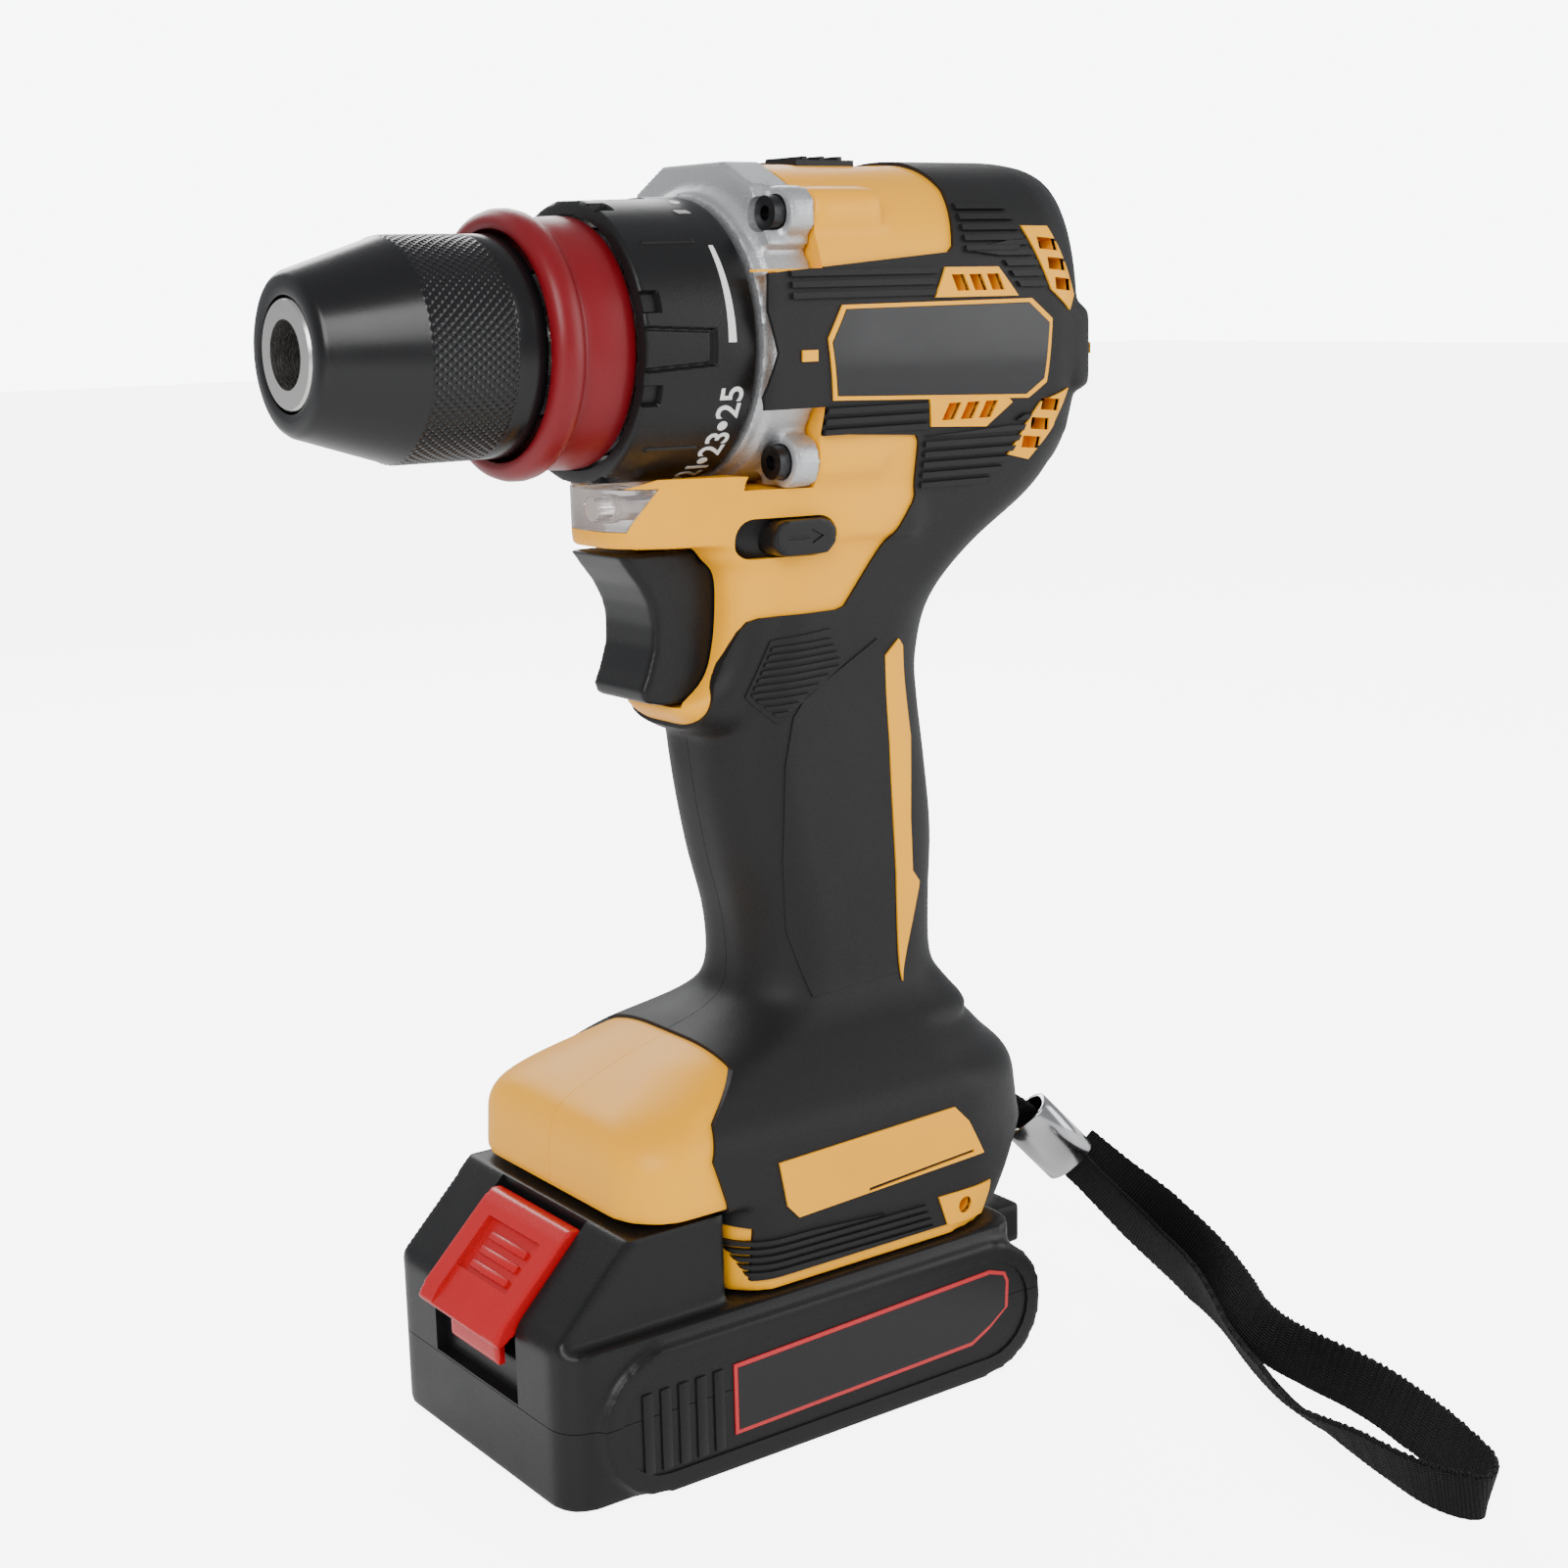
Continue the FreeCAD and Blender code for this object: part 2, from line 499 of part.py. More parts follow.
def housing():
    form = tool_form(0.0).fuse(lofted(FOOT_LOW))
    outside = form.fuse(side_plate(LIP_OUTLINE, -13.0, 13.0))
    openings = [cover_room(), foot_channel(), vents(), lens_room(0.0),
                block(-30.0, 16.4, -TRIGGER_HALF_Y - 0.5, TRIGGER_HALF_Y + 0.5, 154.0, 186.6),
                side_plate(button_outline(0.35), -60.0, 60.0),
                block(23.2, 47.2, -8.0, 8.0, 255.0, 275.0),
                cross_rod(1.9, -60.0, -28.2, 42.4, 41.0),
                cross_rod(1.9, 28.2, 60.0, 43.2, 40.5),
                block(60.0, 90.0, -4.5, 4.5, 47.0, 56.0), strap_anchor(),
                rod(2.8, -24.0, -16.0, 0.0, 195.0)] + badges() + blade_rooms(0.5, 50.0, 55.0)
    for y, dz in COVER_SCREWS:
        outside = outside.fuse(rod(5.4, FLANGE_REAR, 30.0, y, AXIS_Z + dz))
        openings.append(rod(1.9, 0.0, 27.0, y, AXIS_Z + dz))
    towers = []
    screws = []
    for x, z in HOUSING_SCREWS:
        towers.append(cross_rod(3.4, -40.0, 40.0, x, z))
        shank = cross_rod(1.5, -12.0, 8.0, x, z)
        screws.append(shank.fuse(cross_rod(2.9, 8.0, 10.4, x, z)))
        openings.append(shank)
        openings.append(cross_rod(3.0, 8.0, 60.0, x, z))
    save("housing_screws", *screws)

    above_foot = block(-60.0, 120.0, -60.0, 60.0, 53.5, 300.0)
    inside = tool_form(WALL + RUBBER).common(above_foot).cut(towers)
    covered = form.common(side_plate(RUBBER_OUTLINE, -60.0, 60.0))
    rubber = covered.cut(tool_form(RUBBER).fuse(lofted(FOOT_LOW, RUBBER)))
    shell = outside.cut(inside).cut(rubber)
    for opening in openings:
        shell = shell.cut(opening)
        rubber = rubber.cut(opening)
    for name, y0, y1 in (("left", -60.0, 0.0), ("right", 0.0, 60.0)):
        side = block(-80.0, 130.0, y0, y1, 0.0, 300.0)
        half = shell.common(side)
        save("housing_" + name, *[s for s in half.Solids if s.Volume > 300])
        grip = rubber.common(side)
        save("grip_overmould_" + name, *[s for s in grip.Solids if s.Volume > 30])


def blade_rooms(grow, low, high):
    """The contact blades of the foot, or the slots that they pass through."""
    return [block(26.0 - grow, 44.0 + grow, y - 0.4 - grow, y + 0.4 + grow, low, high)
            for y in (-9.0, 0.0, 9.0)]


def badges():
    """The name plates let into both sides of the motor housing, left blank."""
    plate = [(15.0, 216.0), (65.5, 214.4), (70.0, 217.5), (71.0, 229.5), (65.4, 234.2),
             (16.5, 233.8), (12.6, 227.1)]
    return both_sides(side_plate(plate, -33.2, -30.6))


def strap_anchor():
    return cross_rod(1.6, -12.0, 12.0, 70.5, 51.0)


def lens_room(inset):
    """The LED window in the nose of the head."""
    nose = head(inset, HEAD_Z[1]).cut(head(2.4, HEAD_Z[1]))
    return nose.common(block(-30.0, -19.0, -30.0, 30.0, 190.6 + inset, 199.4 - inset))


def housing_fittings():
    save("led_lens", lens_room(0.0))
    led = rod(2.5, -23.0, -18.0, 0.0, 195.0).fuse(rod(3.0, -18.0, -16.6, 0.0, 195.0))
    save("work_light_led", led.removeSplitter())
    save("badge_plates", *badges())
    save("terminal_block", block(22.0, 48.0, -17.0, 17.0, 54.8, 60.0), *blade_rooms(0.0, 41.0, 54.8))
    board = block(8.0, 50.0, -14.0, 14.0, 62.5, 64.1)
    parts = [block(14.0, 22.0, -8.0, 2.0, 64.1, 68.0), cross_rod(3.0, -12.0, 4.0, 36.0, 67.1)]
    save("control_board", board.multiFuse(parts).removeSplitter())


# ---- trigger, direction lever and speed selector ------------------------------------------------
def controls():
    outline = [(-24.0, 185.9), (-21.6, 183.2), (-18.6, 179.4), (-16.6, 175.5), (-15.8, 171.5),
               (-16.2, 166.5), (-18.0, 161.5), (-19.6, 158.0), (-18.4, 155.4), (-14.0, 154.5),
               (-4.0, 154.6), (2.5, 160.0), (2.5, 183.8),
               (-4.6, 183.8), (-4.6, 185.9)]
    trigger = side_plate(outline, -TRIGGER_HALF_Y, TRIGGER_HALF_Y)
    save("trigger", trigger.fuse(rod(2.2, 2.5, 14.0, 0.0, 176.0)).removeSplitter())
    save("trigger_spring", coil(3.4, 0.5, V(3.2, 0, 176.0), ALONG, 12.6, 6))
    switch = block(16.5, 43.0, -9.5, 9.5, 159.0, 183.0)
    well = rod(2.6, 10.0, 24.0, 0.0, 176.0)
    save("trigger_switch", switch.cut(well))
    button = side_plate(button_outline(0.0), -25.6, 25.6)
    save("direction_lever", button)
    slider = block(23.7, 38.5, -7.5, 7.5, AXIS_Z + 33.6, AXIS_Z + 35.4)
    stem = block(28.0, 34.0, -4.0, 4.0, AXIS_Z + 27.0, AXIS_Z + 33.6)
    ribs = [block(x, x + 1.2, -6.5, 6.5, AXIS_Z + 35.4, AXIS_Z + 36.2) for x in (26.0, 30.5, 35.0)]
    save("speed_selector", slider.multiFuse([stem] + ribs).removeSplitter())


# ---- battery ------------------------------------------------------------------------------------
LATCH_HALF_Y = 16.6
SPRING_X = -48.5         # latch spring
LATCH_OUTLINE = [(-48.0, 49.2), (-60.6, 36.6), (-62.6, 34.6), (-64.4, 31.6), (-63.2, 30.4),
                 (-59.6, 32.6), (-44.6, 47.6), (-43.0, 51.2), (-45.6, 51.2)]


def stadium(y0, y1, z0, z1):
    """The raised side panel with round ends."""
    radius = (z1 - z0) / 2
    middle = (z0 + z1) / 2
    ends = [cross_rod(radius, y0, y1, x, middle) for x in (-52.7 + radius, 62.7 - radius)]
    bar = block(-52.7 + radius, 62.7 - radius, y0, y1, z0, z1)
    return bar.multiFuse(ends)


def latch_room():
    """The space that the latch moves in, down through the front shoulder."""
    drop = 5.6
    lowered = [(x, z - drop) for x, z in LATCH_OUTLINE]
    swept = [side_plate([(-66.0, 37.0), (-47.0, 56.0), (-42.0, 56.0), (-42.0, 41.0), (-57.5, 25.5),
                         (-57.5, 18.0), (-66.0, 18.0)], -LATCH_HALF_Y - 0.5, LATCH_HALF_Y + 0.5)]
    swept.append(side_plate(lowered, -LATCH_HALF_Y - 0.5, LATCH_HALF_Y + 0.5))
    return swept[0].fuse(swept[1])


def battery():
    body = block(BATTERY_FRONT, BATTERY_REAR, -BATTERY_HALF_Y, BATTERY_HALF_Y, 0.0, BATTERY_TOP)
    edges = [e for e in body.Edges if abs(e.BoundBox.ZLength - BATTERY_TOP) < 0.01]
    body = body.makeFillet(7.0, edges)
    shoulder = side_plate([(BATTERY_FRONT + 0.6, BATTERY_TOP - 1.0), (-59.0, 36.0), (-41.8, 53.6),
                           (-19.0, 53.6), (-19.0, BATTERY_TOP - 1.0)], -33.0, 33.0)
    panels = [stadium(-38.4, -30.0, 0.0, 31.0), stadium(30.0, 38.4, 0.0, 31.0)]
    ears = block(-20.0, 54.0, -27.0, 27.0, 40.6, 50.0)
    neck = block(-20.0, 54.0, -23.0, 23.0, BATTERY_TOP - 1.0, 41.0)
    knobs = [block(50.0, 68.5, y - 5.0, y + 5.0, 22.0, 32.0) for y in (-20.0, 20.0)]
    outside = body.multiFuse([shoulder, ears, neck] + panels + knobs).removeSplitter()
    inside = block(-41.0, 55.5, -34.0, 34.0, 2.5, 31.0)
    rails = block(-17.0, 51.0, -20.0, 20.0, 30.0, 47.6)
    front = block(-56.0, -40.0, -14.0, 14.0, 3.0, 17.0)
    slots = [block(22.0, 56.0, y - 0.9, y + 0.9, 37.0, 51.0) for y in (-9.0, 0.0, 9.0)]
    hollow = inside.multiFuse([rails, front])
    well = Part.makeCylinder(3.4, 40.0, V(SPRING_X, 0, 19.0))
    case = outside.cut(hollow).cut(latch_room()).cut(Part.makeCompound(slots)).cut(well)
    lower = case.common(block(-90.0, 90.0, -60.0, 60.0, -1.0, SEAM_Z))
    upper = case.common(block(-90.0, 90.0, -60.0, 60.0, SEAM_Z, 90.0))
    screws = []
    for y in (-29.0, 29.0):
        seat = Part.makeCylinder(3.2, 3.0, V(-46.0, y, -0.5))
        shank = Part.makeCylinder(1.3, 20.0, V(-46.0, y, 2.5))
        screw = shank.fuse(Part.makeCylinder(2.9, 1.8, V(-46.0, y, 0.7)))
        lower = lower.cut(seat).cut(screw)
        upper = upper.cut(screw)
        screws.append(screw)
    save("battery_case_lower", lower)
    save("battery_case_upper", upper)
    save("battery_screws", *screws)


def battery_contents():
    cells = []
    holders = []
    pitch = 2 * CELL_R + 0.3
    for number in range(CELL_COUNT):
        x = -31.0 + pitch * number
        cells.append(cross_rod(CELL_R, -CELL_LENGTH / 2, CELL_LENGTH / 2, x, 13.2))
        nickel = (x - 4.0, x + 4.0)
        holders.append(block(*nickel, -CELL_LENGTH / 2 - 0.3, -CELL_LENGTH / 2, 9.2, 17.2))
        holders.append(block(*nickel, CELL_LENGTH / 2, CELL_LENGTH / 2 + 0.3, 9.2, 17.2))
    save("battery_cells", *cells, *holders)
    clips = []
    for y in (-9.0, 0.0, 9.0):
        for side in (-1, 1):
            near, far = sorted((y + side * 0.95, y + side * 1.65))
            clips.append(block(28.0, 42.0, near, far, 27.6, 46.0))
    save("battery_board", block(-14.0, 48.0, -18.0, 18.0, 26.0, 27.6), *clips)
    latch = side_plate(LATCH_OUTLINE, -LATCH_HALF_Y, LATCH_HALF_Y)
    slope = V(-1, 0, -1).normalize()
    for step in range(3):
        centre = V(-51.5, 0, 45.7) + slope * (3.4 * step + 1.5)
        rib = block(-0.8, 0.8, -7.5, 7.5, -0.2, 0.9)
        rib.rotate(V(0, 0, 0), V(0, 1, 0), -45)
        rib.translate(centre)
        latch = latch.fuse(rib)
    save("battery_latch", latch.removeSplitter())
    save("latch_spring", coil(2.6, 0.4, V(SPRING_X, 0, 19.9), V(0, 0, 1), 20.0, 8))


# ---- leads inside the handle --------------------------------------------------------------------
def leads():
    tubes = []
    for y in (-4.5, 4.5):
        route = [(30.0, y, 64.5), (29.0, y, 78.0), (27.0, y * 1.2, 92.0), (25.5, y, 108.0),
                 (26.5, y * 0.9, 124.0), (28.0, y, 140.0), (28.5, y, 158.9)]
        shape, length, radii = bent_tube(route, 1.1)
        print("lead", round(length, 1), "radii", [round(r) for r in radii])
        tubes.append(shape)
    return tubes


# ---- wrist strap --------------------------------------------------------------------------------
FERRULE = ((89.6, -2.0, 41.9), (101.8, -5.0, 28.4))
STRAP_ROUTE = [(74.6, -0.2, 51.2), (82.0, -0.9, 48.0), (89.6, -2.0, 41.9), (101.8, -5.0, 28.4),
               (108.5, -11.0, 19.0), (112.0, -22.0, 10.5), (110.5, -37.0, 6.2),
               (102.5, -54.0, 4.6), (92.5, -70.0, 4.2), (84.5, -87.0, 4.4), (79.5, -104.0, 4.6),
               (76.5, -121.0, 4.4), (73.5, -137.0, 3.2), (76.5, -147.5, 3.0), (83.0, -146.5, 5.2),
               (88.5, -134.0, 6.2), (94.5, -118.0, 5.4), (99.0, -101.0, 4.8), (98.5, -84.0, 4.6),
               (101.5, -68.0, 4.8), (110.5, -53.0, 5.6), (117.5, -38.0, 8.0),
               (118.0, -22.5, 14.0), (112.5, -10.5, 23.0), (106.8, -4.0, 31.2)]


def strap():
    save("strap_pin", strap_anchor())
    start = V(*FERRULE[0])
    way = V(*FERRULE[1]) - start
    ferrule = Part.makeCylinder(5.6, way.Length, start, way)
    ferrule = ferrule.cut(Part.makeCylinder(4.9, way.Length + 2, start - way * 0.05, way))
    save("strap_ferrule", ferrule)
    shape, length, radii = bent_tube(STRAP_ROUTE, WEBBING_R)
    share = shape.Volume / (math.pi * WEBBING_R ** 2 * length)
    print("strap length", round(length, 1), "volume share", round(share, 4))
    print("strap radii", [round(r, 1) for r in radii])
    save("strap_webbing", shape)


gears()
chuck()
gearbox_front()
motor()
housing()
housing_fittings()
controls()
battery()
battery_contents()
save("power_leads", *leads())
strap()
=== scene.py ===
import json
import math
import bmesh
import bpy
import numpy as np
from mathutils import Matrix


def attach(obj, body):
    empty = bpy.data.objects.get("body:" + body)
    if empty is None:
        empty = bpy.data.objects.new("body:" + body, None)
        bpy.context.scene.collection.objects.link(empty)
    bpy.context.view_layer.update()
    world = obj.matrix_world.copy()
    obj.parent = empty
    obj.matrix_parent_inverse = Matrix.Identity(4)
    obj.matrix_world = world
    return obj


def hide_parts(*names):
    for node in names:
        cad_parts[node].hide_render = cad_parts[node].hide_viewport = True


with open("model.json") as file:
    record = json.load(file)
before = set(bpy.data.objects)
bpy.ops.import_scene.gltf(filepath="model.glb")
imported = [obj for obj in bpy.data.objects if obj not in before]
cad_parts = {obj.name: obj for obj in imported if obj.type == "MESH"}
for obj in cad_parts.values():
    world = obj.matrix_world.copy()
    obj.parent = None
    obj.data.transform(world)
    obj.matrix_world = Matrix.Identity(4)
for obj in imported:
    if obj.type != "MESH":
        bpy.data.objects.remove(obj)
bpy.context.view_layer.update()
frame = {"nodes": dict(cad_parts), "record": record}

nodes = frame["nodes"]
MM = 0.001  # metres in a millimetre
AXIS = 228.0  # height of the spindle axis above the table, in millimetres

# %% [markdown]
# # A cordless drill driver
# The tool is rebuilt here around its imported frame: the frame gives every axis and every moving
# body, and this script gives each outer piece its moulded, turned or woven surface.
#
# ## The camera
# A product picture is taken a little above the tool and ahead of its chuck, with a long lens, so
# that the upright handle stays upright. The camera is set from its azimuth, height and roll.

# %% The camera
azimuth, height, roll = map(math.radians, (-35.87, 11.72, -1.36))
back = np.array([math.sin(azimuth) * math.cos(height), -math.cos(azimuth) * math.cos(height),
                 math.sin(height)])
level_right = np.cross(-back, [0.0, 0.0, 1.0])
level_right /= np.linalg.norm(level_right)
level_up = np.cross(level_right, -back)
right = math.cos(roll) * level_right + math.sin(roll) * level_up
up = math.cos(roll) * level_up - math.sin(roll) * level_right
camera = bpy.data.objects.new("camera", bpy.data.cameras.new("camera"))
camera.data.lens = 55.71
camera.data.clip_start = 0.01
camera_place = (-0.28066, -0.41901, 0.23928)
camera.matrix_world = Matrix([[right[i], up[i], back[i], camera_place[i]] for i in range(3)]
                             + [[0, 0, 0, 1]])
bpy.context.scene.collection.objects.link(camera)
bpy.context.scene.camera = camera
print("camera at", [round(v, 3) for v in camera.location])

# %% [markdown]
# ## The wrist strap
# Polyester webbing 12 mm wide is folded in half, pushed through a steel ferrule and tied to a pin in
# the foot. It is soft, so it twists a quarter turn here and there and settles on the table. A
# curve gives the way that the middle of the webbing takes, and the flat strip follows it with an
# angle of its own at each point of the route.

# %% The strap's route
route = np.array([
    (74.6, -0.2, 51.2), (82.0, -0.9, 48.0), (89.6, -2.0, 41.9), (101.8, -5.0, 28.4),
    (108.5, -11.0, 19.0), (112.0, -22.0, 10.5), (110.5, -37.0, 6.2), (102.5, -54.0, 4.6),
    (92.5, -70.0, 4.2), (84.5, -87.0, 4.4), (79.5, -104.0, 4.6), (76.5, -121.0, 4.4),
    (73.5, -137.0, 3.2), (76.5, -147.5, 3.0), (83.0, -146.5, 5.2), (88.5, -134.0, 6.2),
    (94.5, -118.0, 5.4), (99.0, -101.0, 4.8), (98.5, -84.0, 4.6), (101.5, -68.0, 4.8),
    (110.5, -53.0, 5.6), (117.5, -38.0, 8.0), (118.0, -22.5, 14.0), (112.5, -10.5, 23.0),
    (106.8, -4.0, 31.2)]) * MM
# The tilt of the webbing's width above the table, in degrees, at each point of the route.
tilts = np.array([20, 35, 50, 60, 70, 78, 82, 70, 62, 58, 40, 60, 70, 74, 78, 72, 60, 62, 70, 62,
                  50, 58, 70, 60, 55.0])
curve = bpy.data.curves.new("strap_route", "CURVE")
curve.dimensions = "3D"
spline = curve.splines.new("NURBS")
spline.points.add(len(route) - 1)
for point, place in zip(spline.points, route):
    point.co = (*place, 1.0)
spline.order_u = 3
spline.use_endpoint_u = True
spline.resolution_u = 12
line_object = bpy.data.objects.new("strap_line", curve)
bpy.context.scene.collection.objects.link(line_object)
line_mesh = bpy.data.meshes.new_from_object(line_object)
line = np.array([v.co for v in line_mesh.vertices])
bpy.data.objects.remove(line_object)
line_length = np.linalg.norm(np.diff(line, axis=0), axis=1).sum()
print("strap line", len(line), "points,", round(line_length, 4), "m")

# %% [markdown]
# ## Light and floor
# One large soft box over the front left shoulder gives the long highlights on the chuck, a second
# one fills the handle from the right, and a strip behind the tool draws its edges. The floor is a
# plain pale sheet. Floor and sky are bright white only to rays that start at the camera: every
# other ray meets a much dimmer one, so the background is white and the tool keeps its shading.

# %% Floor and lights
floor_mesh = bpy.data.meshes.new("floor")
floor_mesh.from_pydata([(-6, -6, -0.0005), (6, -6, -0.0005), (6, 6, -0.0005), (-6, 6, -0.0005)], [],
                       [(0, 1, 2, 3)])
floor = bpy.data.objects.new("floor", floor_mesh)
bpy.context.scene.collection.objects.link(floor)
world = bpy.data.worlds.new("studio")
world.use_nodes = True
world.node_tree.nodes["Background"].inputs["Color"].default_value = (0.95, 0.97, 1.0, 1.0)
bpy.context.scene.world = world


def soft_box(name, place, target, size, watts):
    """An area light at place that looks at target, both in metres."""
    lamp = bpy.data.lights.new(name, "AREA")
    lamp.shape = "RECTANGLE"
    lamp.size, lamp.size_y = size
    lamp.energy = watts
    made = bpy.data.objects.new(name, lamp)
    away = np.array(place) - np.array(target)
    away = away / np.linalg.norm(away)
    side = np.cross([0.0, 0.0, 1.0], away)
    side /= np.linalg.norm(side)
    upward = np.cross(away, side)
    made.matrix_world = Matrix([[side[i], upward[i], away[i], place[i]] for i in range(3)]
                               + [[0, 0, 0, 1]])
    bpy.context.scene.collection.objects.link(made)
    return made


soft_box("key", (-0.75, -0.75, 0.75), (0, 0, 0.15), (0.7, 0.7), 13)
soft_box("fill", (0.9, -0.7, 0.45), (0, 0, 0.12), (0.8, 0.8), 7)
soft_box("edge", (0.25, 0.9, 0.7), (0, 0, 0.18), (1.0, 0.35), 9)
print("lights", len(bpy.data.lights))

# %% [markdown]
# ## Finishes
# A finish is a principled surface with its detail worked out from the piece's own coordinates, so
# it needs no unwrapping and doesn't slide when the piece moves. `Wire` lets a formula be written
# as plain arithmetic on sockets, and `Finish` adds nodes and joins the result to the surface.


# %% Arithmetic on sockets
class Wire:
    """A socket in a formula. Each operation adds one Math node."""

    def __init__(self, tree, socket):
        self.tree = tree
        self.socket = socket

    def apply(self, operation, *others, swapped=False):
        """A Math node of this socket and the others, in the opposite order if swapped."""
        node = self.tree.nodes.new("ShaderNodeMath")
        node.operation = operation
        values = (self, *others)
        for place, value in enumerate(values[::-1] if swapped else values):
            if isinstance(value, Wire):
                self.tree.links.new(value.socket, node.inputs[place])
            else:
                node.inputs[place].default_value = value
        return Wire(self.tree, node.outputs[0])

    def __add__(self, other):
        return self.apply("ADD", other)

    def __sub__(self, other):
        return self.apply("SUBTRACT", other)

    def __rsub__(self, other):
        return self.apply("SUBTRACT", other, swapped=True)

    def __mul__(self, other):
        return self.apply("MULTIPLY", other)

    # A sum and a product don't depend on their order.
    __radd__, __rmul__ = __add__, __mul__

    def sine(self):
        return self.apply("SINE")


class Finish:
    """A material whose surface is driven by formulas. Lengths in it are in millimetres."""

    def __init__(self, name, color, roughness, metallic=0.0, **even):
        self.material = bpy.data.materials.new(name)
        self.material.use_nodes = True
        self.material.diffuse_color = (*color, 1.0)
        self.tree = self.material.node_tree
        self.surface = self.tree.nodes["Principled BSDF"]
        self.color = color
        self.set("Base Color", (*color, 1.0))
        self.set("Roughness", roughness)
        self.set("Metallic", metallic)
        for key, value in even.items():
            self.set(key.replace("_", " "), value)
        place = self.node("ShaderNodeTexCoord").outputs["Object"]
        self.place = self.node("ShaderNodeVectorMath", {"operation": "MULTIPLY"},
                               {0: place, 1: (1000.0, 1000.0, 1000.0)}).outputs[0]
        axes = self.node("ShaderNodeSeparateXYZ", {}, {0: self.place})
        self.x, self.y, self.z = (Wire(self.tree, axes.outputs[i]) for i in range(3))

    def node(self, kind, settings=None, values=None):
        """Adds a node with its settings, and its inputs as values, sockets or wires."""
        made = self.tree.nodes.new(kind)
        for key, value in (settings or {}).items():
            setattr(made, key, value)
        for key, value in (values or {}).items():
            self.feed(made.inputs[key], value)
        return made

    def feed(self, socket, value):
        if isinstance(value, Wire):
            value = value.socket
        if isinstance(value, bpy.types.NodeSocket):
            self.tree.links.new(value, socket)
        else:
            socket.default_value = value

    def set(self, name, value):
        self.feed(self.surface.inputs[name], value)

    def noise(self, scale, detail=3.0, stretch=(1.0, 1.0, 1.0)):
        """Cloudy values round 0.5; scale is in features per millimetre."""
        place = self.place
        if stretch != (1.0, 1.0, 1.0):
            place = self.node("ShaderNodeVectorMath", {"operation": "MULTIPLY"},
                              {0: place, 1: stretch}).outputs[0]
        made = self.node("ShaderNodeTexNoise", {}, {"Vector": place, "Scale": scale,
                                                    "Detail": detail})
        return Wire(self.tree, made.outputs[0])

    def attribute(self, name):
        made = self.node("ShaderNodeAttribute", {"attribute_name": name})
        return Wire(self.tree, made.outputs["Fac"])

    def mix(self, amount, first, second):
        """A colour between two colours."""
        made = self.node("ShaderNodeMix", {"data_type": "RGBA"})
        self.feed(made.inputs[0], amount)
        self.feed(made.inputs[6], (*first, 1.0))
        self.feed(made.inputs[7], (*second, 1.0))
        return made.outputs[2]

    def bump(self, height, depth):
        """Raises the surface by height times depth, in millimetres."""
        made = self.node("ShaderNodeBump", {}, {"Height": height, "Distance": depth * MM,
                                                "Strength": 1.0})
        self.set("Normal", made.outputs[0])


def plastic(name, color, roughness, grain=0.05, fine=2.6, **even):
    """Moulded plastic: spark-eroded grain, and a slow change of gloss and tone."""
    made = Finish(name, color, roughness, **even)
    slow = made.noise(0.06, 2.0)
    made.set("Roughness", slow * 0.16 + (roughness - 0.08))
    made.set("Base Color", made.mix(slow, tuple(c * 0.94 for c in color),
                                    tuple(min(c * 1.06, 1.0) for c in color)))
    made.bump(made.noise(fine, 2.0), grain)
    return made.material


def turned_metal(name, color, roughness, depth=0.016, **even):
    """Metal with the fine rings that a lathe leaves round the spindle axis."""
    made = Finish(name, color, roughness, 1.0, **even)
    rings = made.noise(1.6, 2.0, (4.0, 0.15, 0.15))
    made.set("Roughness", rings * 0.14 + (roughness - 0.07))
    made.bump(rings, depth)
    return made.material


# %% The finishes of this tool
yellow = plastic("yellow_plastic", (1.0, 0.42, 0.0), 0.45, 0.035, Specular_IOR_Level=0.3)
rubber = plastic("black_rubber", (0.0095, 0.0095, 0.010), 0.56, 0.05, 3.4, Specular_IOR_Level=0.25)
black = plastic("black_plastic", (0.007, 0.007, 0.0075), 0.36, 0.035, Specular_IOR_Level=0.25)
badge_black = plastic("badge_black", (0.008, 0.008, 0.009), 0.24, 0.01, Specular_IOR_Level=0.35)
chuck_black = plastic("chuck_black", (0.005, 0.005, 0.0055), 0.24, 0.008, 1.4,
                      Specular_IOR_Level=0.35)
ring_red = plastic("ring_red", (0.17, 0.002, 0.006), 0.38, 0.02, Specular_IOR_Level=0.35)
latch_red = plastic("latch_red", (0.48, 0.006, 0.010), 0.28, 0.015, Specular_IOR_Level=0.35)
print_white = plastic("print_white", (0.80, 0.80, 0.78), 0.45, 0.01)
label_red = plastic("label_red", (0.50, 0.015, 0.02), 0.30, 0.01)
polished = turned_metal("polished_steel", (0.42, 0.42, 0.43), 0.16, 0.004)
steel = turned_metal("steel", (0.60, 0.59, 0.57), 0.26)
black_steel = turned_metal("black_oxide_steel", (0.05, 0.05, 0.052), 0.38)
copper = turned_metal("copper", (0.75, 0.42, 0.22), 0.35)
cell_wrap = plastic("cell_wrap", (0.08, 0.26, 0.50), 0.22, 0.01)
board_green = plastic("circuit_board", (0.03, 0.18, 0.08), 0.28, 0.02)
white = plastic("white_plastic", (0.78, 0.77, 0.73), 0.35, 0.02)
lead_red = plastic("lead_red", (0.45, 0.02, 0.02), 0.4, 0.02)

cast = Finish("cast_aluminium", (0.56, 0.57, 0.58), 0.44, 0.75)
sand = cast.noise(1.9, 3.0)
cast.set("Roughness", sand * 0.3 + 0.28)
cast.set("Base Color", cast.mix(sand, (0.38, 0.39, 0.40), (0.58, 0.59, 0.60)))
cast.bump(sand, 0.12)

